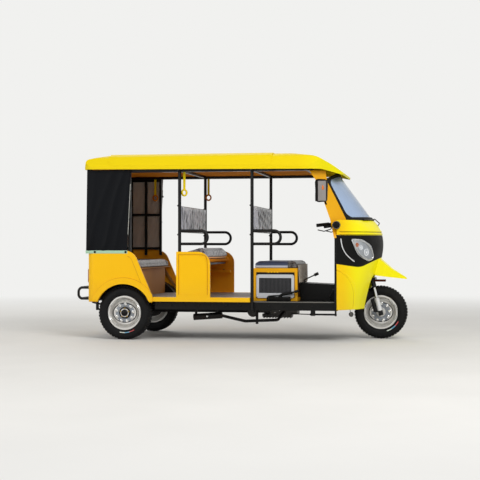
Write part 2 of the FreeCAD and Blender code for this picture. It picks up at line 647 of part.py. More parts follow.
cab_board = block("cab_frame_rear", "cab_frame_front", "-(cab_frame_half)", "cab_frame_half",
                  "cab_seat_low - board", "cab_seat_low - seat_gap")
node("driver_seat_frame", joined("cab_seat", cab_posts + cab_rings + [cab_board]))

# Cooling grille: a rounded frame round a field of upright bars
grille_low = "cab_floor_top + frame_tube"
grille_high = "cab_seat_low - board - frame_tube - 22"
grille_frame = plate("side", "-(cab_frame_half) - 14", "-(cab_frame_half) - seat_gap", [
    ("cab_frame_rear + 32", grille_low, 22), ("cab_frame_front - 32", grille_low, 22),
    ("cab_frame_front - 32", grille_high, 22), ("cab_frame_rear + 32", grille_high, 22),
], holes=[[
    ("cab_frame_rear + 58", f"{grille_low} + 48", 8), ("cab_frame_front - 58", f"{grille_low} + 48", 8),
    ("cab_frame_front - 58", f"{grille_high} - 34", 8), ("cab_frame_rear + 58", f"{grille_high} - 34", 8),
]])
grille_bars = [
    block(f"cab_frame_rear + 58 + (cab_frame_front - cab_frame_rear - 120) * {step} / 24",
          f"cab_frame_rear + 61 + (cab_frame_front - cab_frame_rear - 120) * {step} / 24",
          "-(cab_frame_half) - 9", "-(cab_frame_half) - 4", f"{grille_low} + 40", f"{grille_high} - 26")
    for step in range(1, 24)
]
node("cooling_grille", joined("grille", [grille_frame] + grille_bars))

# Cushions and backrests, as plain pads
node("rear_cushion", block("tub_rear + wall + 60", "rear_seat_front", "-(inner_y - 20)", "inner_y - 20",
                           "rear_seat_low", "rear_seat_top"))
node("mid_cushion", block("mid_panel_rear + 30", "mid_seat_front", "-(inner_y - pillar_diameter - 12)",
                          "inner_y - pillar_diameter - 12", "mid_seat_low", "mid_seat_top"))
node("driver_cushion", block("cab_frame_rear + pillar_diameter + 16", "cab_seat_front", "-(cab_frame_half + 4)",
                             "cab_frame_half + 4", "cab_seat_low", "cab_seat_top"))
for name, x in (("mid_backrest", "mid_pillar_x"), ("driver_backrest", "front_pillar_x")):
    node(name, less(name + "_pad",
                    block(f"{x} - back_thick / 2", f"{x} + back_thick / 2",
                          "-(pillar_y - pillar_diameter / 2 - seat_gap)", "pillar_y - pillar_diameter / 2 - seat_gap",
                          "back_low", "back_high"),
                    *[rod((x, "-(pillar_y)", level), "y", "2 * pillar_y", "loop_tube - 8 + 2 * seat_gap")
                      for level in ("back_low + 20", "back_high - 20")]))
node("rear_backrest", block("tub_rear + wall + seat_gap", "tub_rear + wall + 60 - seat_gap", "-(inner_y - 60)",
                            "inner_y - 60", "rear_seat_top + 10", "tub_top + 180"))

# Roof pillars with their hand loops and backrest bars
PILLARS = [
    # name, x, lower end
    ("mid_pillars", "mid_pillar_x", "floor_top + seat_gap"),
    ("front_pillars", "front_pillar_x", "rail_low"),
]
for name, x, low in PILLARS:
    post = rod((x, "pillar_y", low), "z", f"roof_rail_low - ({low})", "pillar_diameter")
    loop = tube("side", "pillar_y", [
        (x, "loop_high", 0), (f"{x} + loop_reach", "loop_high", "(loop_high - loop_low) / 2 - 0.5"),
        (f"{x} + loop_reach", "loop_low", "(loop_high - loop_low) / 2 - 0.5"), (x, "loop_low", 0),
    ], "loop_tube")
    bars = [rod((x, "-(pillar_y)", level), "y", "2 * pillar_y", "loop_tube - 8")
            for level in ("back_low + 20", "back_high - 20")]
    node(name, joined(name + "_frame", both(post, loop) + bars))

# Rear window frames: three posts and three bars inside each side of the body
window_posts = [
    block(f"{x} - window_tube / 2", f"{x} + window_tube / 2", "window_y - window_tube / 2",
          "window_y + window_tube / 2", "tub_top - 60", "roof_rail_low")
    for x in ("window_rear", "window_mid", "window_front")
]
window_bars = [
    block("window_rear", "window_front", "window_y - window_tube / 2", "window_y + window_tube / 2",
          f"{z}", f"{z} + window_tube")
    for z in ("tub_top + 2", "window_bar - window_tube / 2", "roof_rail_low - window_tube")
]
node("rear_window_frames", grouped("window_frames", both(joined("window_frame", window_posts + window_bars))))

# Roof rails under the shell, on top of the pillars
ROOF_BARS = [
    # x, half length
    (-1430, "skin_y"), ("mid_pillar_x - 15", "roof_inner_half - seat_gap"),
    ("front_pillar_x - 15", "roof_inner_half - seat_gap"), (690, "roof_inner_half - seat_gap"),
]
roof_rails = both(block(-1430, 770, "pillar_y - 42", "pillar_y + 24", "roof_rail_low", "roof_rail_top"))
roof_bars = [block(x, f"{x} + 30", f"-({half})", half, "roof_rail_low + 6", "roof_rail_top")
             for x, half in ROOF_BARS]
node("roof_rails", joined("roof_frame", roof_rails + roof_bars))


def roof_form(inset, lower_edge, crown):
    """The roof's outer form, or with an inset its hollow: what the side, front and plan outlines share."""
    side = plate("side", "-(roof_half) - 50", "roof_half + 50", [(f"roof_rear + {inset}", "roof_edge_rear", 0)]
                 + lower_edge + [
        (f"roof_tip - {inset}", f"roof_edge_front - 30 - {inset}", 0),
        (959, f"roof_edge_front + 42 - {inset}", 400),
        (803, f"roof_edge_front + ({crown} - roof_edge_front) * 0.8 - {inset}", 260),
        (568, f"{crown} - {inset}", 500), ("roof_rear + 239", f"{crown} - {inset}", 300),
        (f"roof_rear + 29 + {inset}", f"{crown} - 44 - {inset}", 40),
    ])
    front = plate("front", "roof_rear - 50", "roof_tip + 50", [
        (f"-(roof_half - {inset})", 1400, 0), (f"roof_half - {inset}", 1400, 0),
        (f"roof_half - {inset}", f"{crown} - 111", 60), (f"roof_half - 60 - {inset}", f"{crown} - 27 - {inset}", 60),
        (f"roof_half - 190 - {inset}", f"{crown} + 11 - {inset}", 200),
        (f"-(roof_half - 190 - {inset})", f"{crown} + 11 - {inset}", 200),
        (f"-(roof_half - 60 - {inset})", f"{crown} - 27 - {inset}", 60),
        (f"-(roof_half - {inset})", f"{crown} - 111", 60),
    ])
    plan = plate("top", 1300, "roof_crown + 50", [
        (f"roof_rear + {inset}", f"-(roof_half - {inset})", 90), (820, f"-(roof_half - {inset})", 200),
        (f"roof_tip - {inset}", f"-(roof_half - 250 - {inset})", 160),
        (f"roof_tip - {inset}", f"roof_half - 250 - {inset}", 160),
        (820, f"roof_half - {inset}", 200), (f"roof_rear + {inset}", f"roof_half - {inset}", 90),
    ])
    return shared("roof_form", side, front, plan)


edge_line = [(860, "roof_edge_front", 0), ("roof_tip - 6", "roof_edge_front - 46", 0)]
hollow_line = [("roof_rear + roof_thick", 1500, 0), ("roof_tip - roof_thick", 1500, 0)]
low_crown = "(roof_crown - roof_step)"
raised_span = plate("side", "-(roof_half)", "roof_half", [
    (-1211, "roof_crown - 122", 0), (356, "roof_crown - 130", 0), (374, "roof_crown - 78", 0),
    (374, "roof_crown + 50", 0), (-1262, "roof_crown + 50", 0), (-1262, "roof_crown - 72", 0),
])
raised_part = shared("roof_raised", roof_form("0", edge_line, "roof_crown"), raised_span)
node("roof_shell", less("roof", joined("roof_outside", [roof_form("0", edge_line, low_crown), raised_part]),
                        roof_form("roof_thick", hollow_line, low_crown)))

# Hand straps: a strap and a ring below each roof rail
STRAPS = [
    # x, side, turn of the ring
    (-1100, 1, 0), (-505, 1, 10), (-1100, -1, 0), (-505, -1, 60),
]
straps = []
for x, side, turn in STRAPS:
    y = f"{side} * (pillar_y - 28)"
    strap = block(f"{x} - 12", f"{x} + 12", f"{y} - 2", f"{y} + 2", "roof_rail_low - 178", "roof_rail_low")
    ring = doc.addObject("Part::Torus", "ring")
    ring.Radius1 = 27
    ring.Radius2 = 5
    ring.Placement = Placement(Vector(), Rotation(Vector(0, 0, 1), turn) * Rotation(Vector(1, 0, 0), 90))
    bind(ring, {"Placement.Base.x": x, "Placement.Base.y": y, "Placement.Base.z": "roof_rail_low - 203"})
    straps.append(joined("strap", [strap, ring]))
node("hand_straps", grouped("straps", straps))

# Curtains: plain panels outside the window frames
node("side_curtains", grouped("curtains", both(block(
    "curtain_rear", "curtain_front", "skin_y + seat_gap", "skin_y + seat_gap + curtain_thick", "curtain_low",
    "roof_edge_rear + 6"))))
node("rear_curtain", block("tub_rear - seat_gap - curtain_thick", "tub_rear - seat_gap", "-(skin_y - 20)",
                           "skin_y - 20", "curtain_low", "roof_edge_rear + 6"))

# Front cowl: horizontal sections of the moulded shell
COWL_SECTIONS = [
    # height, nose corner x, nose corner half width, front x
    ("cowl_low", 1215, 330, 1262),
    (560, 1268, 325, 1322),
    (765, 1310, 320, 1384),
    (917, 1330, 315, 1411),
    ("mask_high + 51", 1310, 310, 1383),
    ("cowl_high", 1232, 300, 1319),
]
SIDE_SAG = 0.09


def cowl_wire(level, nose_x, nose_half, front_x, inset):
    """One horizontal section: the rear line, two curved sides and the curved nose."""
    z = num(level)
    rear = Vector(num("cowl_rear"), num("cowl_half") - inset, z)
    nose = Vector(nose_x - inset * 0.7, nose_half - inset * 0.7, z)
    front = Vector(front_x - inset, 0, z)

    def side(sign):
        return [Vector(spot.x, sign * spot.y, z) for spot in (rear, nose)]
    right_rear, right_nose = side(-1)
    left_rear, left_nose = side(1)
    run = right_nose - right_rear
    out = Vector(run.y, -run.x, 0).normalize() * run.Length * SIDE_SAG
    right_mid = (right_rear + right_nose) * 0.5 + out
    left_mid = Vector(right_mid.x, -right_mid.y, z)
    return Part.Wire([
        Part.Arc(right_rear, right_mid, right_nose).toShape(),
        Part.Arc(right_nose, front, left_nose).toShape(),
        Part.Arc(left_nose, left_mid, left_rear).toShape(),
        Part.LineSegment(left_rear, right_rear).toShape(),
    ])


def cowl_form(inset):
    """The cowl's outer form, or with an inset a smaller one inside it."""
    wires = [cowl_wire(level, nose_x, nose_half, front_x, inset)
             for level, nose_x, nose_half, front_x in COWL_SECTIONS]
    return feature("cowl_form", Part.makeLoft(wires, True, False))


def cowl_region(corners, label):
    """A part of the cowl's shell, between the lines that its pieces meet on, seen from the side."""
    region = plate("side", -900, 900, corners, label=label)
    hollow = cowl_form(num("cowl_thick"))
    opening = block("cowl_rear - 30", "cowl_rear + seat_gap", -900, 900, "cowl_low - 10", "cowl_high + 10")
    return shared(label + "_piece", less("cowl_shell", cowl_form(0), hollow, opening), region)


cowl_skin = less("cowl_skin", cowl_form(-5), cowl_form(3))
crease = shared("crease", cowl_skin, plate("side", -900, 900, [
    ("cowl_rear + 4", "cowl_low + 6", 0), (1156, "cowl_low + 6", 0), (1176, 590, 170), (1020, 704, 0),
    ("cowl_rear + 4", 704, 0),
]))
ridges = shared("ridges", cowl_skin, joined("ridge_bands", [
    block("cowl_rear + 4", 1500, -900, 900, f"mask_high + {low}", f"mask_high + {low} + ridge_wide")
    for low in (7, 34)]))
seam_low = [("cowl_rear - 50", "mask_low", 0), (1215, "mask_low - 42", 120), (1450, "mask_low + 78", 0)]
seam_low_under = [(x, f"{z} - seat_gap", rounding) for x, z, rounding in seam_low]
well = plate("front", 1090, 1500, [
    ("-(wheel_well_half)", "cowl_low - 20", 0), ("wheel_well_half", "cowl_low - 20", 0),
    ("wheel_well_half", "wheel_well_top", 110), ("-(wheel_well_half)", "wheel_well_top", 110),
])
lower_panel = cowl_region(
    [("cowl_rear - 50", "cowl_low - 5", 0), (1450, "cowl_low - 5", 0)] + seam_low_under[::-1], "lower_region")
node("cowl_lower", less("cowl_lower_shell", joined("lower_panel", [lower_panel, crease]), well))
node("cowl_mask", cowl_region(
    seam_low + [(1450, "mask_high - seat_gap", 0), ("cowl_rear - 50", "mask_high - seat_gap", 0)], "mask_region"))

# Cab front: front wall and shelf inside the cowl
cab_inside = cowl_form(num("cowl_thick") + num("seat_gap"))
front_wall = block("firewall_x", "firewall_x + firewall_thick", "-(cowl_half)", "cowl_half", "rail_top", "dash_top")
shelf = block("firewall_x", 1500, "-(cowl_half)", "cowl_half", "dash_top - 10", "dash_top")
stem_room = rod(("stem_hole_x", 0, "dash_top - 40"), "z", 80, 110)
node("cab_bulkhead", less("bulkhead", shared("bulkhead_form", joined("bulkhead_sheets", [front_wall, shelf]),
                                             cab_inside), neck_room, stem_room))

# Edge strips behind the cowl
node("cowl_edge_strips", grouped("edge_strips", both(
    block("cowl_rear - door_trim", "cowl_rear", "rail_outer + seat_gap", "cowl_half", "cowl_low + 10",
          "mask_high - 30"))))


def ruled_solid(low, high):
    """A solid between two four-cornered sections."""
    wires = [Part.makePolygon(list(corners) + [corners[0]]) for corners in (low, high)]
    return Part.makeLoft(wires, True, True)


# Front pillars of the cab: a flat tapering panel on each side, from the cowl to the roof
PILLAR_SECTIONS = [
    # height, rear x, front x, outer y at the rear, outer y at the front
    (1003.0, 976, 1000, 640, 640),
    (1184.3, 938, 1082, 640, 506),
    (1400.0, 862, 978, 640, 532),
    (1560.0, 800, 898, 640, 552),
    (1654.7, 738, 886, 640, 562),
]
PILLAR_PANEL = 22


def pillar_solid():
    """The right-hand pillar as a run of ruled stretches."""
    def section(row):
        z, rear_x, front_x, rear_y, front_y = row
        return [Vector(rear_x, -rear_y, z), Vector(front_x, -front_y, z),
                Vector(front_x, -front_y + PILLAR_PANEL, z), Vector(rear_x, -rear_y + PILLAR_PANEL, z)]
    sections = [section(row) for row in PILLAR_SECTIONS]
    whole = None
    for low, high in zip(sections, sections[1:]):
        stretch = ruled_solid(low, high)
        whole = stretch if whole is None else whole.fuse(stretch)
    return whole


# Windscreen: a curved sheet between a lower and an upper arc, in a rubber frame
SCREEN_ARCS = [
    # side x, half width, side z, middle x, middle z
    (1086, 500, 1180, 1312, 1182),
    (892, 548, 1572, 968, 1650),
]


def screen_solid(inset, thick, back):
    """The curved screen, shrunk by an inset at its edges, set back from its face and made solid."""
    (low_x, low_half, low_z, low_mid_x, low_mid_z), (top_x, top_half, top_z, top_mid_x, top_mid_z) = SCREEN_ARCS
    up = Vector(top_mid_x - low_mid_x, 0, top_mid_z - low_mid_z).normalize()
    inward = Vector(-up.z, 0, up.x)

    def arc(side_x, half, side_z, mid_x, mid_z, sign):
        shift = up * inset * sign + inward * back
        end = Vector(side_x, half - inset, side_z) + shift
        mid = Vector(mid_x, 0, mid_z) + shift
        return Part.Arc(Vector(end.x, -end.y, end.z), mid, end).toShape()
    low = arc(low_x, low_half, low_z, low_mid_x, low_mid_z, 1)
    top = arc(top_x, top_half, top_z, top_mid_x, top_mid_z, -1)
    return Part.makeRuledSurface(low, top).extrude(inward * thick)


gasket_wide = num("gasket_wide")
gasket_body = screen_solid(0, num("gasket_thick"), 0)
glass_seat = screen_solid(gasket_wide / 2 - num("seat_gap"), num("glass_thick") + 2 * num("seat_gap"),
                          5 - num("seat_gap"))
sight = screen_solid(gasket_wide, num("gasket_thick") + 20, -10)
node("windscreen_gasket", feature("gasket", gasket_body.cut(glass_seat).cut(sight)))
node("windscreen", feature("glass", screen_solid(gasket_wide / 2, num("glass_thick"), 5)))
upper_panel = cowl_region([("cowl_rear - 50", "mask_high", 0), (1450, "mask_high", 0), (1450, "cowl_high + 5", 0),
                           ("cowl_rear - 50", "cowl_high + 5", 0)], "upper_region")
node("cowl_upper", less("cowl_upper_shell", joined("upper_panel", [upper_panel, ridges]),
                        feature("gasket_seat", gasket_body)))
pillar_panel = less("pillar_panel", feature("pillar_right", pillar_solid()),
                    cowl_form(-num("seat_gap")), feature("gasket_room", gasket_body))
node("cab_pillars", grouped("cab_pillar_pair", both(pillar_panel)))

# Beak mudguard: a peaked shell ahead of the cowl, over the front wheel
beak_side = plate("side", -300, 300, [
    (1300, 640, 0), (1649, 596, 0), (1640, 614, 0), (1500, 700, 300), (1385, 800, 0), (1300, 800, 0),
])
beak_plan = plate("top", 500, 900, [
    (1300, -165, 0), (1440, -150, 200), (1649, -18, 0), (1649, 18, 0), (1440, 150, 200), (1300, 165, 0),
])
beak_hollow = plate("side", -300, 300, [(1300, 600, 0), (1640, 560, 0), (1600, 606, 0), (1480, 680, 300), (1300, 780, 0)])
beak_room = plate("top", 450, 950, [
    (1290, -156, 0), (1436, -141, 200), (1610, -16, 0), (1610, 16, 0), (1436, 141, 200), (1290, 156, 0),
])
node("beak_mudguard", less("beak", shared("beak_form", beak_side, beak_plan), shared("beak_inside", beak_hollow, beak_room),
                           cowl_form(-num("seat_gap"))))

# Headlamps: leaf-shaped lenses that stand out of the mask
lens_outline = [
    (1146, 990, 12), (1240, 985, 60), (1318, 930, 60), (1338, 812, 40), (1296, 782, 30), (1205, 838, 120),
]
lens_side = plate("side", -620, -200, lens_outline)
lens = shared("lens", less("lens_skin", cowl_form(-10), cowl_form(-num("seat_gap"))), lens_side)
node("headlamps", grouped("headlamp_pair", both(lens)))

# Round side lamps on the cab pillars, and square tail lamps on the rear wall
side_lamp = rod((1000, "-(cowl_half + 28)", 1128), "y", 34, "lamp_diameter")
node("side_lamps", grouped("side_lamp_pair", both(
    less("side_lamp", side_lamp, pillar_panel, cowl_form(-num("seat_gap"))))))
node("tail_lamps", grouped("tail_lamp_pair", both(plate("front", "tub_rear - 26", "tub_rear - seat_gap", [
    ("skin_y - 150", 560, 14), ("skin_y - 74", 560, 14), ("skin_y - 74", 700, 14), ("skin_y - 150", 700, 14),
]))))

# Mirrors: a rounded housing on an arm from each cab pillar
mirror_housing = plate("side", "mirror_y - 34", "mirror_y + 34", [
    (812, 1344, 26), (918, 1350, 26), (926, 1560, 30), (806, 1566, 30),
])
mirror_arm = strut((880, "mirror_y - 20", 1400), (900, 628, 1330), 16)
left_pillar = mirrored(pillar_panel)
node("mirrors", grouped("mirror_pair", both(
    less("mirror", joined("mirror_set", [mirror_housing, mirror_arm]), left_pillar))))

# Wiper: spindle, arm and blade ahead of the glass
screen_face = screen_solid(0, 1, 0).Faces[0]


def on_screen(across, up, out):
    """A point ahead of the glass, at shares of its width and height."""
    first, last, low, high = screen_face.ParameterRange
    return tuple(screen_face.valueAt(first + across * (last - first), low + up * (high - low))
                 - inward_of_screen() * out)


def inward_of_screen():
    (low_x, low_half, low_z, low_mid_x, low_mid_z), (top_x, top_half, top_z, top_mid_x, top_mid_z) = SCREEN_ARCS
    up = Vector(top_mid_x - low_mid_x, 0, top_mid_z - low_mid_z).normalize()
    return Vector(-up.z, 0, up.x)


wiper_root = Vector(1352, -20, 1120)
wiper_arm = bent_bar([tuple(wiper_root), tuple(wiper_root + Vector(24, -6, 34)), on_screen(0.44, 0.1, 26),
                      on_screen(0.36, 0.2, 10)], 10, 9)
wiper_blade = bent_bar([on_screen(0.2 + step * 0.06, 0.13 + step * 0.026, 12) for step in range(6)], 60, 9)
node("wiper", less("wiper_set", joined("wiper_parts", [wiper_arm, wiper_blade]), cowl_form(-num("seat_gap"))))

# Steering: everything below is set out along the raked steering axis
rake = math.radians(num("rake"))
axis_up = Vector(-math.sin(rake), 0, math.cos(rake))
axle_point = Vector(num("front_axle_x"), 0, num("wheel_radius"))
crown_point = Vector(num("crown_x"), 0, num("crown_z"))
head_start = num("crown_thick") + num("run_gap")
head_shape = Part.makeCylinder(num("head_tube") / 2, num("head_length"), crown_point + axis_up * head_start, axis_up)
head_bore = Part.makeCylinder(num("stem_diameter") / 2 + num("seat_gap"), num("head_length") + 20,
                              crown_point + axis_up * (head_start - 10), axis_up)
neck = plate("side", "-(neck_half)", "neck_half", [
    ("rail_front + seat_gap", "rail_low", 0), ("rail_front + 50", "rail_low", 60),
    ("crown_x - 90", "crown_z + 6", 120), ("crown_x - 22", "crown_z + 70", 0),
    ("crown_x - 44", "crown_z + 160", 0), ("crown_x - 160", "crown_z + 70", 80), ("rail_front + seat_gap", 430, 0),
])
node("steering_head", less("head_set", joined("head_and_neck", [neck, feature("head", head_shape)]),
                           feature("head_bore", head_bore)))

stem = feature("stem", Part.makeCylinder(num("stem_diameter") / 2, num("stem_length"), crown_point, axis_up))
crown_box = Part.makeBox(120, 2 * num("fork_half") + num("fork_sleeve"), num("crown_thick"))
crown_box.translate(Vector(-60 + num("fork_offset") / 2, -num("fork_half") - num("fork_sleeve") / 2, 0))
crown_box.Placement = Placement(crown_point, Rotation(Vector(0, 1, 0), -num("rake"))).multiply(crown_box.Placement)
fork_pieces = [stem, feature("crown", crown_box)]
for side in (-1, 1):
    foot = axle_point + Vector(0, side * num("fork_half"), 0)
    fork_pieces.append(feature("leg", Part.makeCylinder(
        num("fork_tube") / 2, num("crown_up") + 20, foot, axis_up)))
    fork_pieces.append(feature("sleeve", Part.makeCylinder(
        num("fork_sleeve") / 2, num("crown_up") * 0.55, foot - axis_up * 30, axis_up)))
for side in (-1, 1):
    foot = axle_point + Vector(0, side * num("fork_half"), 0)
    behind = Vector(-math.cos(rake), 0, -math.sin(rake)) * num("fork_spring_back")
    fork_pieces.append(feature("spring", Part.makeCylinder(
        num("fork_spring") / 2, num("fork_spring_long"), foot + behind + axis_up * 20, axis_up)))
    for lift in (12, num("fork_spring_long") + 8):
        eye = Part.makeBox(60, 20, 16, Vector(-54, -10, 0))
        eye.Placement = Placement(foot + axis_up * lift, Rotation(Vector(0, 1, 0), -num("rake")))
        fork_pieces.append(feature("spring_eye", eye))
guard = plate("top", "crown_z + 4", "crown_z + 9", [
    ("crown_x + 20", -50, 0), (1434, -24, 12), (1434, 24, 12), ("crown_x + 20", 50, 0),
])
fork_pieces.append(guard)
spindle = rod(("front_axle_x", "-(fork_half + 30)", "wheel_radius"), "y", "2 * (fork_half + 30)", "2 * axle_radius")
node("fork", joined("fork_set", fork_pieces + [spindle]))

bar_mid = crown_point + axis_up * (num("stem_length") + num("bar_diameter") / 2)
BAR_ROUTE = [
    # x behind the stem, half width, z above the stem's top
    (0, 0, 0), (-20, 130, 24), (-165, 315, 30), (-330, 365, 10),
]


def bar_point(row, side):
    back, half, rise = row
    return (bar_mid.x + back, side * half, bar_mid.z + rise)


handlebar_sides = [
    bent_bar([bar_point(row, side) for row in BAR_ROUTE], 45, "bar_diameter") for side in (-1, 1)
]
grips = []
for side in (-1, 1):
    tail = Vector(*bar_point(BAR_ROUTE[-1], side))
    ahead = Vector(*bar_point(BAR_ROUTE[-2], side))
    along = (ahead - tail).normalize()
    grips.append(feature("grip", Part.makeCylinder(num("grip_diameter") / 2, 125, tail - along * 6, along)))
levers = [bent_bar([bar_point((-205, 322, 22), side), bar_point((-190, 326, -24), side),
                    bar_point((-262, 368, -48), side), bar_point((-322, 386, -34), side)], 18, num("lever_rod"))
              for side in (-1, 1)]
clamp = feature("clamp", Part.makeCylinder(34, 52, crown_point + axis_up * (num("stem_length") - 20), axis_up))
node("handlebar", less("handlebar_set", joined("bar_set", handlebar_sides + grips + levers + [clamp]), stem))


# Wheels: tyre with shoulder blocks, and a pressed rim with its hub
TREAD_BLOCKS = 26


def tyre(label, x, y):
    """A tyre turned about its axle, with a row of blocks on each shoulder."""
    body = doc.addObject("PartDesign::Body", label)
    sketch = sketch_on(body, "top", 0)
    half = "tyre_width / 2"
    tread = "wheel_radius - tread_block"
    draw(sketch, [
        ("bead_radius + seat_gap", f"-({half} - 22 - seat_gap)", 0),
        ("bead_radius + rim_flange + 3", f"-({half} - 22 - seat_gap)", 0),
        ("bead_radius + rim_flange + 11", f"-({half} - 7)", 0),
        ("bead_radius + 45", f"-({half})", 40), (f"{tread} - 22", f"-({half} - 3)", 16),
        (tread, f"-({half} - 22)", 0), (tread, f"{half} - 22", 0), (f"{tread} - 22", f"{half} - 3", 16),
        ("bead_radius + 45", half, 40), ("bead_radius + rim_flange + 11", f"{half} - 7", 0),
        ("bead_radius + rim_flange + 3", f"{half} - 22 - seat_gap", 0),
        ("bead_radius + seat_gap", f"{half} - 22 - seat_gap", 0),
    ])
    turned = body.newObject("PartDesign::Revolution", "carcass")
    turned.Profile = sketch
    turned.ReferenceAxis = (sketch, ["V_Axis"])
    turned.Angle = 360
    lug = sketch_on(body, "side", 0)
    draw(lug, [(-13, f"{tread} - 6", 0), (13, f"{tread} - 6", 0), (10, "wheel_radius", 0), (-10, "wheel_radius", 0)])
    pad = body.newObject("PartDesign::Pad", "blocks")
    pad.Profile = lug
    pad.Midplane = True
    bind(pad, {"Length": "tyre_width - 40"})
    gap = sketch_on(body, "side", 0)
    doc.recompute()
    pattern = body.newObject("PartDesign::PolarPattern", "tread")
    pattern.Originals = [pad]
    pattern.Axis = (gap, ["N_Axis"])
    pattern.Angle = 360
    pattern.Occurrences = TREAD_BLOCKS
    body.Tip = pattern
    bind(body, {"Placement.Base.x": x, "Placement.Base.y": y, "Placement.Base.z": "wheel_radius"})
    return body


RIM_HOLES = 10


def rim(label, x, y, outward):
    """A pressed rim turned about its axle, with a ring of holes in its disc. outward is the side of the dish."""
    body = doc.addObject("PartDesign::Body", label)
    sketch = sketch_on(body, "top", 0)
    seat = "bead_radius"
    half = "(tyre_width / 2 - 22)"
    o = outward
    draw(sketch, [
        (seat, f"-({half})", 0), (f"{seat} + rim_flange", f"-({half})", 0),
        (f"{seat} + rim_flange", f"-({half} + 5)", 0), (f"{seat} - 6", f"-({half} + 5)", 0),
        (f"{seat} - 20", f"-({half} - 20)", 0), (f"{seat} - 20", f"{half} - 20", 0),
        (f"{seat} - 6", f"{half} + 5", 0), (f"{seat} + rim_flange", f"{half} + 5", 0),
        (f"{seat} + rim_flange", half, 0), (seat, half, 0), (f"{seat} - 14", f"{half} - 18", 0),
        (f"{seat} - 14", f"-({half} - 18)", 0),
    ])
    turned = body.newObject("PartDesign::Revolution", "barrel")
    turned.Profile = sketch
    turned.ReferenceAxis = (sketch, ["V_Axis"])
    turned.Angle = 360
    disc = sketch_on(body, "top", 0)
    draw(disc, [
        ("axle_radius + seat_gap", -20 * o, 0), ("hub_radius", -20 * o, 0), ("hub_radius", 4 * o, 0),
        (70, 10 * o, 0), (112, 16 * o, 0), (f"{seat} - 18", -8 * o, 0), (f"{seat} - 18", 0, 0), (114, 24 * o, 0),
        (70, 18 * o, 0), ("hub_radius + 2", 12 * o, 0), ("hub_radius - 6", 40 * o, 0),
        ("axle_radius + seat_gap", 40 * o, 0),
    ])
    dished = body.newObject("PartDesign::Revolution", "disc")
    dished.Profile = disc
    dished.ReferenceAxis = (disc, ["V_Axis"])
    dished.Angle = 360
    doc.recompute()
    hole = sketch_on(body, "side", 0)
    spot = hole.addGeometry(Part.Circle(Vector(0, 91, 0), Vector(0, 0, 1), 9))
    hole.addConstraint(Sketcher.Constraint("Radius", spot, 9))
    hole.addConstraint(Sketcher.Constraint("DistanceX", -1, 1, spot, 3, 0))
    hole.addConstraint(Sketcher.Constraint("DistanceY", -1, 1, spot, 3, 91))
    pocket = body.newObject("PartDesign::Pocket", "hole")
    pocket.Profile = hole
    pocket.Type = "ThroughAll"
    pocket.Midplane = True
    doc.recompute()
    pattern = body.newObject("PartDesign::PolarPattern", "holes")
    pattern.Originals = [pocket]
    pattern.Axis = (hole, ["N_Axis"])
    pattern.Angle = 360
    pattern.Occurrences = RIM_HOLES
    body.Tip = pattern
    bind(body, {"Placement.Base.x": x, "Placement.Base.y": y, "Placement.Base.z": "wheel_radius"})
    return body


WHEELS = [
    # name, axle x, y, side of the dish
    ("front", "front_axle_x", 0, -1),
    ("rear_right", "rear_axle_x", "-track / 2", -1),
    ("rear_left", "rear_axle_x", "track / 2", 1),
]
for name, x, y, outward in WHEELS:
    node(f"tyre_{name}", tyre(f"tyre_{name}", x, y))
    node(f"rim_{name}", rim(f"rim_{name}", x, y, outward))

# Rear axle: tube, spindles and differential, with the propeller shaft to the engine
hub_face = "track / 2 - 20 - run_gap"
axle_parts = [
    rod(("rear_axle_x", f"-({hub_face})", "wheel_radius"), "y", f"2 * ({hub_face})", "axle_tube"),
    rod(("rear_axle_x", "-(track / 2 + 36)", "wheel_radius"), "y", "track + 72", "2 * axle_radius"),
]
axle_parts += both(rod(("rear_axle_x", "track / 2 - 64", "wheel_radius"), "y", "38 - run_gap", "drum_plate"))
differential = doc.addObject("Part::Sphere", "differential")
bind(differential, {"Radius": "differential / 2", "Placement.Base.x": "rear_axle_x",
                    "Placement.Base.z": "wheel_radius"})
shaft = strut(("rear_axle_x", 0, "wheel_radius"), ("engine_rear + 10", 0, "engine_low + 30"), "shaft_diameter")
shaft_trimmed = less("shaft_trimmed", shaft, block("engine_rear - seat_gap", 700, -200, 200, 0, 600))
node("rear_axle", joined("axle_set", axle_parts + [differential, shaft_trimmed]))

# Leaf springs: an arched pack on the axle tube, with eyes below the rear rails
spring_y = "spine_outer - rail_wide / 2"
spring_eye = "rail_top - 22"


def spring_shape(side):
    """A leaf pack bent as an arc, in the side view, with a hanger at each end."""
    y = side * num(spring_y)
    wide = num("spring_wide")
    eye_z = num(spring_eye)
    low_z = num("wheel_radius") + num("axle_tube") / 2
    x = num("rear_axle_x")
    half = num("spring_half")
    thick = num("spring_thick")
    top = Part.Arc(Vector(x - half, y - wide / 2, eye_z), Vector(x, y - wide / 2, low_z + thick),
                   Vector(x + half, y - wide / 2, eye_z)).toShape()
    under = Part.Arc(Vector(x - half, y - wide / 2, eye_z - 10), Vector(x, y - wide / 2, low_z + num("seat_gap")),
                     Vector(x + half, y - wide / 2, eye_z - 10)).toShape()
    ends = [Part.LineSegment(Vector(x + s * half, y - wide / 2, eye_z),
                             Vector(x + s * half, y - wide / 2, eye_z - 10)).toShape() for s in (-1, 1)]
    face = Part.Face(Part.Wire([top, ends[1], under, ends[0]]))
    leaf = face.extrude(Vector(0, wide, 0))
    rail_low = num("rail_top")
    for sign in (-1, 1):
        hanger = Part.makeBox(24, 40, rail_low - eye_z + 9, Vector(x + sign * (half - 12) - 12, y - 20, eye_z - 9))
        leaf = leaf.fuse(hanger)
    return leaf


node("leaf_springs", grouped("springs", [feature("spring", spring_shape(side)) for side in (-1, 1)]))

# Engine: one plain block below the driver's seat, on two bearers across the rails
engine = block("engine_rear", "engine_rear + engine_long", "-(engine_wide / 2)", "engine_wide / 2", "engine_low",
               "engine_low + engine_tall")
node("engine_block", engine)
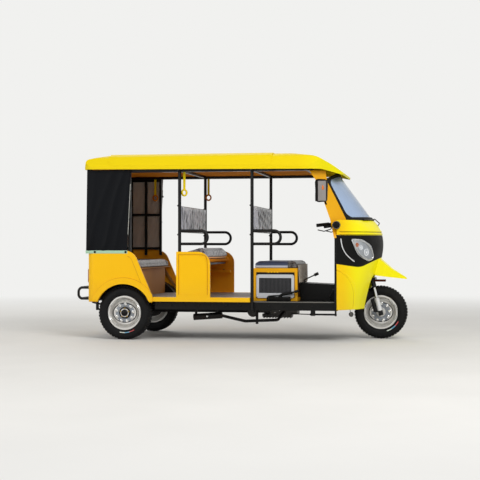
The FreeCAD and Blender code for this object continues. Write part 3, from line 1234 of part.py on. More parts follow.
# Exhaust: bent pipe from the engine to a muffler on hangers
exhaust_pipe = bent_bar([
    (420, "-(engine_wide / 2 + seat_gap)", 258), (420, -200, 258), (380, -280, 190), (60, -330, 178),
    (-90, -370, 215), (-175, -385, 236),
], 30, "pipe_diameter")
muffler = strut((-165, -385, 238), (-454, -385, 217), "muffler_diameter")
hangers = [block(f"{x} - 12", f"{x} + 12", -391, -379, 230, "rail_low")
           for x in ("hanger_rear_x", "hanger_front_x")]
hangers.append(block("front_pillar_x - 12", "front_pillar_x + 12", -326, -300, 150, "rail_low"))
node("exhaust", joined("exhaust_set", [exhaust_pipe, muffler] + hangers))

# Brake linkage: a rod below the right-hand rail between two brackets, and a pull rod to the engine
link_y = "-(rail_outer - rail_wide / 2)"
link_level = "rail_low - link_drop"
link_rod = rod(("link_rear - 8", link_y, link_level), "x", "rail_front - link_rear", "link_rod_thick")
link_brackets = [block(x, f"{x} + {wide}", f"{link_y} - 12", f"{link_y} + 12", f"{link_level} - 14", "rail_low")
                 for x, wide in (("link_rear", 44), ("rail_front - 26", 16))]
pull_rod = strut(("link_rear + 10", link_y, link_level),
                 (500, "-(engine_wide / 2 + seat_gap + 3)", "engine_low + 8"), 10)
node("brake_linkage", joined("linkage", [link_rod, pull_rod] + link_brackets))

# Rear bumper: two side loops joined by two bars
bumper_loop = tube("side", "bumper_half", [
    ("tub_rear - seat_gap", "bumper_high", 0), ("bumper_rear + bumper_tube / 2", "bumper_high", 42),
    ("bumper_rear + bumper_tube / 2", "bumper_low + bumper_tube / 2", 42),
    ("tub_rear - seat_gap", "bumper_low + bumper_tube / 2", 0),
], "bumper_tube")
bumper_bars = [rod(("bumper_rear + bumper_tube / 2 + 30", "-(bumper_half)", z), "y", "2 * bumper_half", "bumper_tube")
               for z in ("bumper_high", "bumper_low + bumper_tube / 2")]
node("rear_bumper", joined("bumper", both(bumper_loop) + bumper_bars))

# Controls: gear lever, hand brake and brake pedal
gear = bent_bar([(625, -110, 554), (625, -110, 586), (740, -116, 640)], 14, 12)
knob = strut((728, -115, 634), (768, -118, 653), 30)
gear_lever = less("gear_lever", joined("gear", [gear, knob]), tunnel)
brake_y = "-(cab_frame_half + 44)"
brake = bent_bar([(300, brake_y, "cab_floor_top"), (300, brake_y, 430), (420, brake_y, 440), (590, brake_y, 482)],
                 20, 16)
brake_knob = strut((575, brake_y, 478), (612, brake_y, 488), 28)
hand_brake = joined("hand_brake", [brake, brake_knob])
pedal_arm = bent_bar([(900, -260, "cab_floor_top"), (900, -260, 430), (940, -260, 500)], 14, 14)
pedal_pad = block(925, 960, -300, -220, 480, 500)
brake_pedal = joined("brake_pedal", [pedal_arm, pedal_pad])
node("controls", grouped("control_set", [gear_lever, hand_brake, brake_pedal]))

# Check every object, then write the sub-parts
doc.recompute()
for item in doc.Objects:
    if "Invalid" in item.State or "Error" in item.State:
        raise RuntimeError(f"{item.Label} ({item.Name}) failed: {item.State}")
os.makedirs("parts", exist_ok=True)
for piece in nodes:
    shape = piece.Shape
    if shape.isNull() or not shape.isValid():
        raise RuntimeError(f"{piece.Label} has no valid shape")
    if not shape.Solids:
        raise RuntimeError(f"{piece.Label} has no solid")
    shape.exportStep(f"parts/{piece.Label}.step")
    box = shape.BoundBox
    print(f"{piece.Label:22s} solids {len(shape.Solids):2d}  x {box.XMin:7.0f} {box.XMax:7.0f}  "
          f"y {box.YMin:6.0f} {box.YMax:6.0f}  z {box.ZMin:6.0f} {box.ZMax:6.0f}  {shape.Volume / 1e6:8.2f} l")
print(len(nodes), "nodes")
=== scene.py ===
# %% [markdown]
# # An auto rickshaw, dressed for its portrait
#
# The solids of the vehicle are already built and in place. This lesson gives them their paint, rubber and
# glass, and models the soft and small pieces that a solid model leaves out. Before each step a note says
# what the real piece is, how it could be made, and why this way was chosen.

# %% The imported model
import bpy
import math
from mathutils import Matrix, Vector


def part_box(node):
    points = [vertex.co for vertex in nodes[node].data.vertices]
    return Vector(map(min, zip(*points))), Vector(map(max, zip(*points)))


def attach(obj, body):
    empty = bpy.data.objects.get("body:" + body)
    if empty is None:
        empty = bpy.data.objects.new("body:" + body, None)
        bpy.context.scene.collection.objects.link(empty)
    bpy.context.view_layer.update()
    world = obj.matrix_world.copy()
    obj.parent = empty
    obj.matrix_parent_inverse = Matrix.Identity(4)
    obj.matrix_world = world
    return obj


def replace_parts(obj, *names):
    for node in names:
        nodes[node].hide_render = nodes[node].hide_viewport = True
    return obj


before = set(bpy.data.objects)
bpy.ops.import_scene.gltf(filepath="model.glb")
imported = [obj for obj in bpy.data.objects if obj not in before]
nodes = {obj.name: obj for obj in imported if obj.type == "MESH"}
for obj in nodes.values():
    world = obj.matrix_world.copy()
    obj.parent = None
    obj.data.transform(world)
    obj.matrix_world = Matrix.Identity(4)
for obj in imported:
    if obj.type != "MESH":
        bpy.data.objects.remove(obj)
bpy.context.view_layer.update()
print(len(nodes), "solids loaded")

# %% [markdown]
# ## The studio
# The photograph looks at the right-hand side from a little ahead of it, at the height of the seats and from
# about twelve metres away, so the lens is long. A camera with the same place and angle gives the same
# outline.

# %% Camera
bpy.ops.object.camera_add(location=(2.027, -11.642, 0.927),
                          rotation=(math.radians(90.3), 0, math.radians(10.13)))
camera = bpy.context.object
camera.data.lens = 86.25
camera.data.sensor_width = 36
bpy.context.scene.camera = camera
bpy.context.scene.view_settings.view_transform = "Standard"

# %% [markdown]
# Colours are written as a screen shows them. The shader wants linear light, so one function turns the first
# into the second. Another fills the inputs of a node with values and colours, or links them to the node
# that feeds them, and a third adds a node. The colour inputs of a Mix node have the numbers 6 and 7, and
# its colour output is 2. Every pattern is laid out in the object's own metres, so it starts from those
# coordinates.

# %% Helpers for materials
MAIN_OUTPUT = {"ShaderNodeMix": 2, "ShaderNodeTexWave": "Fac", "ShaderNodeTexCoord": "Object"}


def linear(hex_colour):
    """Turn a screen colour such as #F5BE02 into linear light."""
    parts = [int(hex_colour[first:first + 2], 16) / 255 for first in (1, 3, 5)]
    return [part / 12.92 if part <= 0.04045 else ((part + 0.055) / 1.055) ** 2.4 for part in parts] + [1.0]


def fill(item, inputs):
    """Fill a node's inputs with values, hex colours, other nodes or their outputs."""
    for name, value in inputs.items():
        if isinstance(value, bpy.types.Node):
            value = value.outputs[MAIN_OUTPUT.get(value.bl_idname, 0)]
        if isinstance(value, bpy.types.NodeSocket):
            item.id_data.links.new(value, item.inputs[name])
        else:
            item.inputs[name].default_value = linear(value) if isinstance(value, str) else value


def add(tree, kind, inputs, **settings):
    """Add one node with its settings, and fill its inputs; a Mix node mixes colours."""
    item = tree.nodes.new("ShaderNode" + kind)
    if kind == "Mix":
        item.data_type = "RGBA"
    for name, value in settings.items():
        setattr(item, name, value)
    fill(item, inputs)
    return item


def start(name, **values):
    """A new material, its node tree, its shader with these inputs set, and its coordinates."""
    material = bpy.data.materials.new(name)
    material.use_nodes = True
    tree = material.node_tree
    shader = tree.nodes["Principled BSDF"]
    fill(shader, {key.replace("_", " "): value for key, value in values.items()})
    return material, tree, shader, add(tree, "TexCoord", {})


# %% Scales and grain
def per_mm(size):
    """How many repeats of a pattern of this many millimetres fit in a metre."""
    return 1000 / size


def wave_per_mm(size):
    """The same for the Wave texture, which repeats every tau / 20 of its unit."""
    return per_mm(size) * math.tau / 20


def grain(tree, place, size_mm, strength, detail=2.0):
    """A fine relief: noise of this size, read as bumps of up to a millimetre."""
    noise = add(tree, "TexNoise", {"Vector": place, "Scale": per_mm(size_mm), "Detail": detail})
    return add(tree, "Bump", {"Height": noise, "Strength": strength, "Distance": 0.001})


# %% [markdown]
# The floor is a pale screed with a slow, faint change of tone. The background behind it is a white world,
# seen by the camera, by reflections and through glass at full strength, while the light that it throws
# stays weaker. A large key lamp stands in front and to the right, a fill lamp on the other side, and one
# behind. Far from the vehicle the floor fades into the background, for those same rays alone, so no horizon
# cuts across the picture.

# %% Background
BACKGROUND = "#F1F1EF"


def looked_along(tree):
    """1 for rays of the camera, of reflections and through glass, and 0 for the rest."""
    ray = add(tree, "LightPath", {}).outputs
    direct = add(tree, "Math", {0: ray["Is Camera Ray"], 1: ray["Is Glossy Ray"]}, operation="MAXIMUM")
    return add(tree, "Math", {0: direct, 1: ray["Is Transmission Ray"]}, operation="MAXIMUM")


# %% The floor
bpy.ops.object.select_all(action="DESELECT")
bpy.ops.mesh.primitive_plane_add(size=60)
floor = bpy.context.object
floor.name = "floor"
screed, tree, shader, place = start("cement_screed_trowelled", Roughness=0.85)
tone = add(tree, "TexNoise", {"Vector": place, "Scale": per_mm(900), "Detail": 4.0})
shade = add(tree, "Mix", {"Factor": tone, 6: "#DAD8D4", 7: "#E6E4E0"})
fill(shader, {"Base Color": shade})
reach = add(tree, "VectorMath", {0: place}, operation="LENGTH").outputs["Value"]
away = add(tree, "MapRange", {"Value": reach, "From Min": 3.0, "From Max": 11.0},
           interpolation_type="SMOOTHSTEP")
faded = add(tree, "Math", {0: looked_along(tree), 1: away}, operation="MULTIPLY")
haze = add(tree, "Emission", {"Color": BACKGROUND, "Strength": 1.0})
ground = add(tree, "MixShader", {0: faded, 1: shader, 2: haze})
fill(tree.nodes["Material Output"], {"Surface": ground})
floor.data.materials.append(screed)

# %% World and lamps
world = bpy.data.worlds.new("studio")
bpy.context.scene.world = world
world.use_nodes = True
tree = world.node_tree
strength = add(tree, "MapRange", {"Value": looked_along(tree), "To Min": 0.6, "To Max": 1.0})
fill(tree.nodes["Background"], {"Color": BACKGROUND, "Strength": strength})

LAMPS = [  # name, place, side of the square, watts
    ("key", (4.5, -6.5, 6.5), 4.0, 430),
    ("fill", (-6.0, -7.0, 3.5), 5.0, 170),
    ("back", (-3.0, 6.0, 5.0), 5.0, 110)]
for name, place, side, watts in LAMPS:
    bpy.ops.object.light_add(type="AREA", location=place)
    lamp = bpy.context.object
    lamp.name = name + "_lamp"
    lamp.data.size = side
    lamp.data.energy = watts
    lamp.rotation_euler = (Vector((0, 0, 0.8)) - Vector(place)).to_track_quat("-Z", "Y").to_euler()

# %% [markdown]
# ## Paint
# The body is pressed steel and moulded glass-fibre under a glossy enamel. Sprayed enamel has a faint orange
# peel a few millimetres wide and a clear top layer, and it gathers road dust towards its lower edges. The
# roof and the cowl are moulded gelcoat; their more lemon yellow than the tub's is painted light, and it grows
# lighter forwards as painted light too. Inside the tub a deeper orange is painted shade; it begins a little
# within its half width, ahead of its back and short of its rounded corners.

# %% Yellow enamels
TUB_HALF, TUB_BACK, TUB_CORNER = 0.6485, -1.4725, 2.084


def enamel(name, light, deep, dust=0.2, dust_top=0.62, inside=None, roughness=0.36, specular=0.2, fade=None):
    """Gloss over a clouded colour or a painted-light fade along X; dust below, and painted shade inside."""
    material, tree, shader, place = start(name, Roughness=roughness, Specular_IOR_Level=specular)
    x, y, z = add(tree, "SeparateXYZ", {"Vector": place}).outputs
    share = add(tree, "TexNoise", {"Vector": place, "Scale": per_mm(420), "Detail": 3.0})
    # Fading along X is painted light: the colour grows lighter forwards.
    if fade:
        share = add(tree, "MapRange", {"Value": x, "From Min": fade[0], "From Max": fade[1]},
                    interpolation_type="SMOOTHSTEP")
    body = add(tree, "Mix", {"Factor": share, 6: deep, 7: light})
    # The deeper colour inside the tub is painted shade.
    if inside:
        width = add(tree, "Math", {0: y}, operation="ABSOLUTE")
        corner = add(tree, "Math", {0: width, 1: x}, operation="SUBTRACT")
        painted_shade_share = add(tree, "Math", {0: x, 1: TUB_BACK}, operation="GREATER_THAN")
        for reach, limit in ((width, TUB_HALF), (corner, TUB_CORNER)):
            short = add(tree, "Math", {0: reach, 1: limit}, operation="LESS_THAN")
            painted_shade_share = add(tree, "Math", {0: painted_shade_share, 1: short}, operation="MULTIPLY")
        body = add(tree, "Mix", {"Factor": painted_shade_share, 6: body, 7: inside})
    low = add(tree, "MapRange", {"Value": z, "From Min": dust_top, "From Max": 0.28, "To Max": dust})
    specks = add(tree, "TexNoise", {"Vector": place, "Scale": per_mm(60), "Detail": 8.0, "Roughness": 0.7})
    amount = add(tree, "Math", {0: low, 1: specks}, operation="MULTIPLY")
    dusty = add(tree, "Mix", {"Factor": amount, 6: body, 7: "#A98B52"})
    fill(shader, {"Base Color": dusty, "Normal": grain(tree, place, 3, 0.04, 1.0)})
    return material


# Sprayed enamel: an even gloss, a little dust near the road.
tub_yellow = enamel("enamel_sprayed_golden_yellow", "#F8C200", "#F4B900", 0.25)
# The same enamel, with a deeper orange on the insides of the side panels as painted shade.
tub_painted_shade_inside = enamel("enamel_sprayed_over_primer", "#F8C200", "#F4B900", 0.25, inside="#F8A81C")
# Gelcoat from a mould, duller on the weathered roof than on the cowl. Its cooler yellow, lighter
# forwards, is painted light.
roof_painted_light_yellow = enamel("gelcoat_moulded_yellow_painted_light", "#ECE006", "#E9CD02", roughness=0.5, specular=0.14,
                     fade=(0.60, 0.98))
# The cowl's colour grows from deep yellow to lemon forwards: painted light on the nose.
cowl_painted_light_yellow = enamel("gelcoat_moulded_lemon_painted_light", "#FAEE06", "#F5CA02", fade=(1.03, 1.21))
# The same enamel on the pillars and on the driver's box, a deeper yellow as painted shade.
pillar_painted_shade_yellow = enamel("enamel_sprayed_yellow_painted_shade", "#EDB010", "#E29E08")
# Board on the underside of the roof, matt; its brown-orange is painted shade.
lining_painted_shade_orange = enamel("lining_board_orange_painted_shade", "#EE9428", "#CE7A16", 0.05, roughness=0.9, specular=0.05)
# Bare plywood of the bench box: pale brown and matt.
plywood = enamel("plywood_varnished_brown", "#B5864C", "#8F6231", 0.3, 0.8, roughness=0.6)

# %% [markdown]
# Rails, pillars and the chassis are mild-steel tube and channel under black chassis enamel: half glossy,
# worn grey where hands and shoes rub, and dusty below. A cloudy noise that is cut off at its middle gives
# patches of wear, and the same noise makes them a little duller.

# %% Black and grey coatings
def coating(name, colour, worn, roughness, wear, grain_mm=2.0, strength=0.05, metallic=0.0, specular=0.5):
    """A coat of paint or plastic with fine grain and a second colour in worn, dusty patches."""
    material, tree, shader, place = start(name, Metallic=metallic, Specular_IOR_Level=specular)
    patches = add(tree, "TexNoise", {"Vector": place, "Scale": per_mm(140), "Detail": 9.0, "Roughness": 0.65})
    mask = add(tree, "MapRange", {"Value": patches, "From Min": 0.48, "From Max": 0.72, "To Max": wear})
    body = add(tree, "Mix", {"Factor": mask, 6: colour, 7: worn})
    gloss = add(tree, "MapRange", {"Value": patches, "From Min": 0.3, "From Max": 0.7,
                                   "To Min": roughness - 0.06, "To Max": roughness + 0.12})
    fill(shader, {"Base Color": body, "Roughness": gloss, "Normal": grain(tree, place, grain_mm, strength)})
    return material


# %% The coatings
# Brushed chassis enamel: dull gloss with dust in patches.
black_enamel = coating("enamel_brushed_black", "#060605", "#1F1B17", 0.38, 0.25, specular=0.2)
# Powder-coated tube: an even satin.
black_tube = coating("powder_coated_steel_black", "#080808", "#1D1B19", 0.33, 0.18, 1.2, specular=0.25)
# Moulded ABS: fine leather grain, satin.
black_abs = coating("abs_moulded_black", "#0B0A09", "#1E1A16", 0.5, 0.2, 1.4, 0.12, specular=0.12)
# Extruded rubber: matt, with bloom on it.
black_rubber = coating("rubber_extruded_black", "#090909", "#1E1C1B", 0.62, 0.2, 1.0, 0.08, specular=0.2)
# Tyre rubber: matt carbon black, dusty from the road.
tyre_rubber = coating("rubber_vulcanised_tyre", "#0B0B0C", "#2A2724", 0.66, 0.3, 1.5, 0.1, specular=0.2)
# Pressed steel, aluminium-painted: silver but not a mirror.
rim_silver = coating("steel_pressed_silver_paint", "#D6D4D0", "#A29E97", 0.34, 0.3, 1.5, 0.05, 0.3)
# The pressed disc inside the rim: aluminium paint, a darker grey as painted shade within the rim.
disc_painted_shade_grey = coating("aluminium_paint_grey_painted_shade", "#8B9097", "#4E5258", 0.4, 0.5, 5.0, 0.05, 0.5)
# Bright zinc and chrome on small fittings.
bright_steel = coating("steel_chrome_plated", "#D8D8D6", "#8E8C88", 0.16, 0.15, 3.0, 0.02, 1.0)
# Passivated wheel nuts: yellow zinc, half glossy.
brass = coating("steel_zinc_passivated_yellow", "#B99A4E", "#6E5B30", 0.3, 0.3, 2.0, 0.04, 0.9)
# Silver paint over moulded plastic: bright, with a fine sparkle.
silver_trim = coating("abs_painted_silver", "#DDDEDF", "#B5B6B7", 0.3, 0.25, 2.0, 0.04, 0.3)
# Galvanised or painted brackets.
grey_steel = coating("steel_painted_grey", "#6A6863", "#8D8372", 0.45, 0.3, 2.0, 0.06, 0.3)
# Cast engine housing: rough from the sand.
cast_grey = coating("aluminium_sand_cast_oily", "#4A4845", "#211D19", 0.5, 0.6, 2.4, 0.25, 0.4)
# Exhaust in heat-proof black: dull, with brown scale coming through.
exhaust_steel = coating("steel_painted_heatproof_black", "#12100F", "#3A2A20", 0.5, 0.35, 3.0, 0.08, 0.1, 0.25)

# %% [markdown]
# ## Glass, lamps and floors
# The windscreen is laminated float glass with a faint green-grey body. A thin pane can be a mix of a clear,
# slightly tinted see-through layer and a glossy one; that keeps what is behind it bright without bending
# rays.

# %% Glass
def pane(name, tint, film, gloss, body):
    """A thin see-through pane: a tint that light passes, and a glossy film of its own colour."""
    material, tree, shader, place = start(name, Base_Color=film)
    clear = add(tree, "BsdfTransparent", {"Color": tint})
    share = add(tree, "MapRange", {"Value": add(tree, "Fresnel", {"IOR": 1.5}), "To Min": body})
    smear = add(tree, "TexNoise", {"Vector": place, "Scale": per_mm(220), "Detail": 5.0})
    wiped = add(tree, "MapRange", {"Value": smear, "To Min": gloss, "To Max": gloss + 0.12})
    fill(shader, {"Roughness": wiped})
    fill(tree.nodes["Material Output"], {"Surface": add(tree, "MixShader", {0: share, 1: clear, 2: shader})})
    return material


# Laminated float glass: clear, cool, with a trace of wiping marks a hand wide.
screen_glass = pane("glass_float_laminated", "#EEF3F8", "#CFDDF0", 0.02, 0.15)
# Headlamp cover: clear polycarbonate over a bright bowl.
lamp_cover = pane("polycarbonate_moulded_clear", "#F6F8FA", "#E8ECF2", 0.03, 0.06)

# %% [markdown]
# A lamp's lens has upright optic ribs under a gloss, and the mat on the passengers' floor has ribs across
# the vehicle, 12 mm apart. A wave along one axis draws either, as colour and as relief; the colour is
# lighter on the backs of the ribs as painted light, on the mat the darker grooves are painted shade, and
# the mat is darker again in random patches.

# %% Ribbed lenses and floor
def ribbed(name, light, deep, pitch_mm, axis, strength, depth, dusty=False, **gloss):
    """Straight ribs that follow each other along an axis, lighter on their backs as painted light."""
    material, tree, shader, place = start(name, **gloss)
    ribs = add(tree, "TexWave", {"Vector": place, "Scale": wave_per_mm(pitch_mm)}, bands_direction=axis)
    share = ribs
    # This noise only makes the colour darker in random patches.
    if dusty:
        dust = add(tree, "TexNoise", {"Vector": place, "Scale": per_mm(90), "Detail": 6.0})
        share = add(tree, "Math", {0: ribs, 1: dust}, operation="MULTIPLY")
    shade = add(tree, "Mix", {"Factor": share, 6: deep, 7: light})
    relief = add(tree, "Bump", {"Height": ribs, "Strength": strength, "Distance": depth})
    fill(shader, {"Base Color": shade, "Normal": relief})
    return material


LENS_GLOSS = {"Roughness": 0.12, "Coat_Weight": 0.6, "Coat_Roughness": 0.05}
# Moulded acrylic: deep colour under a high gloss.
red_lens = ribbed("pmma_moulded_red", "#C4140E", "#7C0806", 9, "Z", 0.35, 0.002, **LENS_GLOSS)
amber_lens = ribbed("pmma_moulded_amber", "#F2811A", "#B9520C", 6, "Z", 0.35, 0.002, **LENS_GLOSS)
# Rubber matting, matt: darker between the ribs as painted shade, and darker in random patches.
floor_mat = ribbed("rubber_mat_ribbed", "#A79B92", "#6A615C", 12, "X", 0.5, 0.003, dusty=True, Roughness=0.6)

# %% [markdown]
# Every solid of the model now gets the finish of the real piece it stands for.

# %% Finishes of the solids
FINISHES = {
    tub_yellow: ["sills"],
    tub_painted_shade_inside: ["rear_body", "mid_seat_sides", "mid_seat_frame"],
    plywood: ["rear_seat_base"],
    roof_painted_light_yellow: ["roof_shell", "hand_straps"],
    cowl_painted_light_yellow: ["cowl_upper", "cowl_lower", "beak_mudguard"],
    pillar_painted_shade_yellow: ["cab_pillars", "driver_seat_frame"],
    black_enamel: ["chassis_frame", "cab_floor", "centre_tunnel", "wheel_housings", "leaf_springs",
                   "rear_axle", "brake_linkage", "mid_seat_tubes", "steering_head"],
    black_tube: ["mid_pillars", "front_pillars", "rear_window_frames", "roof_rails", "rear_bumper",
                 "handlebar", "controls", "wiper", "fork"],
    black_abs: ["cowl_mask", "cab_bulkhead", "side_lamps", "mirrors"],
    black_rubber: ["windscreen_gasket", "cowl_edge_strips"],
    tyre_rubber: ["tyre_front", "tyre_rear_left", "tyre_rear_right"],
    rim_silver: ["rim_front", "rim_rear_left", "rim_rear_right"],
    floor_mat: ["passenger_floor"],
    screen_glass: ["windscreen"],
    lamp_cover: ["headlamps"],
    red_lens: ["tail_lamps"],
    cast_grey: ["engine_block"],
    exhaust_steel: ["exhaust"],
}
for material, names in FINISHES.items():
    for name in names:
        for slot in nodes[name].material_slots:
            slot.material = material
print("still to be dressed:", sorted(set(nodes) - set(sum(FINISHES.values(), []))))

# %% [markdown]
# ## Tools for modelling
# Blender's operators act on what is selected, so each step first selects one piece, or some of its
# vertices, edges or faces by their place. A finished piece has its place in its mesh, its origin at the
# scene's, its material, and the body of the vehicle that it rides on.

# %% Selecting
def mode(name):
    """Enter object or edit mode."""
    bpy.ops.object.mode_set(mode=name)


def only(piece):
    """Select this piece alone, in object mode."""
    if bpy.context.mode != "OBJECT":
        mode("OBJECT")
    bpy.ops.object.select_all(action="DESELECT")
    piece.select_set(True)
    bpy.context.view_layer.objects.active = piece


def anywhere(middle, direction):
    """The test that every part of a piece passes."""
    return True


def choose(piece, kind, test):
    """Enter edit mode with those parts selected whose middle (and normal or direction) pass the test."""
    only(piece)
    mode("EDIT")
    bpy.ops.mesh.select_mode(type=kind)
    bpy.ops.mesh.select_all(action="DESELECT")
    mode("OBJECT")
    mesh = piece.data
    if kind == "VERT":
        for corner in mesh.vertices:
            corner.select = test(corner.co, corner.normal)
    elif kind == "EDGE":
        for edge in mesh.edges:
            ends = [mesh.vertices[number].co for number in edge.vertices]
            edge.select = test((ends[0] + ends[1]) / 2, (ends[1] - ends[0]).normalized())
    else:
        for face in mesh.polygons:
            face.select = test(face.center, face.normal)
    mode("EDIT")


# %% Changing a part of a piece
def resize(piece, value, centre, test=anywhere):
    """Resize the points that pass the test about a centre."""
    choose(piece, "VERT", test)
    bpy.ops.transform.resize(value=value, center_override=centre)
    mode("OBJECT")


def inset(piece, direction, *steps):
    """Inset the faces that look in a direction, once for each thickness and depth."""
    choose(piece, "FACE", lambda middle, normal: normal.dot(Vector(direction)) > 0.9)
    for thickness, depth in steps:
        bpy.ops.mesh.inset(thickness=thickness, depth=depth)
    mode("OBJECT")


def soften(piece, width, segments):
    """Round all sharp edges by a modifier."""
    rounding = piece.modifiers.new("rounding", "BEVEL")
    rounding.width = width
    rounding.segments = segments


def thicken(piece, thickness):
    """Give a sheet its thickness by a modifier, half to each side."""
    sheet = piece.modifiers.new("sheet", "SOLIDIFY")
    sheet.thickness = thickness
    sheet.offset = 0


# %% Finishing a piece
def outwards():
    """Turn all faces of the active piece outwards."""
    mode("EDIT")
    bpy.ops.mesh.select_all(action="SELECT")
    bpy.ops.mesh.normals_make_consistent(inside=False)
    mode("OBJECT")


def settle():
    """Move the active piece's place, turn and size into its mesh."""
    bpy.ops.object.transform_apply(location=True, rotation=True, scale=True)


def finish(piece, name, material, body="root", angle=35):
    """Apply modifiers and place, turn faces outwards, smooth, name, paint and hand over to a body."""
    only(piece)
    for modifier in list(piece.modifiers):
        bpy.ops.object.modifier_apply(modifier=modifier.name)
    settle()
    outwards()
    bpy.ops.object.shade_smooth_by_angle(angle=math.radians(angle))
    piece.name = name
    piece.data.name = name
    piece.data.materials.clear()
    piece.data.materials.append(material)
    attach(piece, body)
    return piece


# %% [markdown]
# Most pieces begin in one of five ways: a block with rounded edges, a turned piece, a tube along a line, a
# hoop or a net of small squares. What repeats is copied, each copy with a mesh of its own.

# %% A block and a turned piece
def slab(low, high, bevel=0.0, steps=3):
    """A block between two corners, its edges rounded."""
    bpy.ops.object.select_all(action="DESELECT")
    middle = [(a + b) / 2 for a, b in zip(low, high)]
    bpy.ops.mesh.primitive_cube_add(size=1, location=middle, scale=[b - a for a, b in zip(low, high)])
    piece = bpy.context.object
    bpy.ops.object.transform_apply(location=False, rotation=False, scale=True)
    if bevel:
        mode("EDIT")
        bpy.ops.mesh.select_all(action="SELECT")
        bpy.ops.mesh.bevel(offset=bevel, segments=steps, affect="EDGES")
        mode("OBJECT")
    return piece


def stack(rings, place, along, sides):
    """A turned piece: rings of (radius, height) along a direction, each extruded from the last and resized."""
    bpy.ops.object.select_all(action="DESELECT")
    place, along = Vector(place), Vector(along).normalized()
    bpy.ops.mesh.primitive_circle_add(vertices=sides, radius=rings[0][0], fill_type="NGON",
                                      location=place + along * rings[0][1],
                                      rotation=along.to_track_quat("Z", "Y").to_euler())
    piece = bpy.context.object
    settle()
    mode("EDIT")
    bpy.ops.mesh.select_all(action="SELECT")
    for (radius, height), (wider, higher) in zip(rings, rings[1:]):
        bpy.ops.mesh.extrude_region_move(TRANSFORM_OT_translate={"value": along * (higher - height)})
        bpy.ops.transform.resize(value=[wider / radius] * 3, center_override=place + along * higher)
    mode("OBJECT")
    return piece


# %% A tube, a hoop and a net
def wire(points, thick, closed=False, order=3):
    """A round tube along a smooth line through space, made a mesh."""
    bpy.ops.object.select_all(action="DESELECT")
    bpy.ops.curve.primitive_nurbs_path_add(location=(0, 0, 0))
    line = bpy.context.object.data
    line.splines.clear()
    spline = line.splines.new("NURBS")
    spline.points.add(len(points) - 1)
    for point, place in zip(spline.points, points):
        point.co = (*place, 1.0)
    spline.use_cyclic_u = closed
    spline.order_u = order
    spline.use_endpoint_u = not closed
    line.dimensions = "3D"
    line.resolution_u = 6
    line.bevel_depth = thick / 2
    line.bevel_resolution = 3
    line.use_fill_caps = True
    bpy.ops.object.convert(target="MESH")
    return bpy.context.object


def hoop(place, radius, thick, segments, sides, stretch, turn=0.0):
    """A ring that looks sideways, turned about the vertical and stretched."""
    bpy.ops.object.select_all(action="DESELECT")
    bpy.ops.mesh.primitive_torus_add(major_radius=radius, minor_radius=thick / 2, major_segments=segments,
                                     minor_segments=sides, location=place, rotation=(math.pi / 2, 0, turn))
    piece = bpy.context.object
    resize(piece, (1, 1, stretch), place)
    return piece


def net(across, up, where):
    """A grid whose points go where a function of their shares across and up puts them."""
    bpy.ops.object.select_all(action="DESELECT")
    bpy.ops.mesh.primitive_grid_add(x_subdivisions=across, y_subdivisions=up, size=1)
    piece = bpy.context.object
    for point in piece.data.vertices:
        point.co = where(point.co.x + 0.5, point.co.y + 0.5)
    return piece


# %% Joining and copying
def join(pieces):
    """Join pieces into the first one."""
    only(pieces[0])
    for piece in pieces:
        piece.select_set(True)
    bpy.ops.object.join()
    return pieces[0]


def copied(piece, change):
    """A copy with a mesh of its own, changed by a matrix."""
    other = piece.copy()
    other.data = piece.data.copy()
    other.data.transform(change)
    bpy.context.collection.objects.link(other)
    return other


def mirrored(piece):
    """The left-hand twin of a finished right-hand piece."""
    other = copied(piece, Matrix.Scale(-1, 4, (0, 1, 0)))
    only(other)
    outwards()
    other.name = other.data.name = piece.name.replace("right", "left")
    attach(other, "root")
    return other


# %% [markdown]
# ## Seats
# The benches are foam pads in a checked cloth, grey with white and black threads, under a thin clear cover
# that glints. A woven check is two sets of stripes that cross: wherever a stripe of the one meets one of
# the other, the colour deepens. The backs are silver-grey vinyl gathered into upright folds. The driver's
# pad is navy vinyl with a bright edge, and its front end is cloth that hangs down over the box.

# %% Woven check and gathered vinyl
# Woven polyester check under clear vinyl: small crossing stripes, a soft gloss on the folds.
plaid, tree, shader, place = start("polyester_woven_check", Roughness=0.42, Coat_Weight=0.25,
                                   Coat_Roughness=0.2)
crumple = add(tree, "TexNoise", {"Vector": place, "Scale": per_mm(55), "Detail": 5.0, "Roughness": 0.6})
checked = add(tree, "Mix", {"Factor": crumple, 6: "#464347", 7: "#777477"})
for axis, colour in (("X", "#AEABAF"), ("Y", "#979599")):
    wave = add(tree, "TexWave", {"Vector": place, "Scale": wave_per_mm(46), "Distortion": 1.2,
                                 "Detail Scale": 2.0}, bands_direction=axis)
    stripe = add(tree, "MapRange", {"Value": wave, "From Min": 0.58, "From Max": 0.70})
    checked = add(tree, "Mix", {"Factor": stripe, 6: checked, 7: colour})
flecks = add(tree, "TexNoise", {"Vector": place, "Scale": per_mm(26), "Detail": 6.0, "Distortion": 1.5})
dark = add(tree, "MapRange", {"Value": flecks, "From Min": 0.50, "From Max": 0.56})
fill(shader, {"Base Color": add(tree, "Mix", {"Factor": dark, 6: checked, 7: "#2D2B2E"}),
              "Normal": grain(tree, place, 4, 0.25)})

# Gathered vinyl, silver grey: darker in the folds as painted shade, lighter on their backs as painted
# highlight.
silver_vinyl, tree, shader, place = start("vinyl_gathered_silver_grey", Roughness=0.33, Coat_Weight=0.4,
                                          Coat_Roughness=0.15)
aslant = add(tree, "Mapping", {"Vector": place, "Scale": (1.0, 1.0, 0.42), "Rotation": (0.42, 0.0, 0.0)})
folds = add(tree, "TexNoise", {"Vector": aslant, "Scale": per_mm(130), "Detail": 5.0, "Distortion": 0.8})
depth = add(tree, "MapRange", {"Value": folds, "From Min": 0.42, "From Max": 0.58})
fill(shader, {"Base Color": add(tree, "Mix", {"Factor": depth, 6: "#45454C", 7: "#B4B5BF"}),
              "Normal": add(tree, "Bump", {"Height": folds, "Strength": 0.6, "Distance": 0.008})})
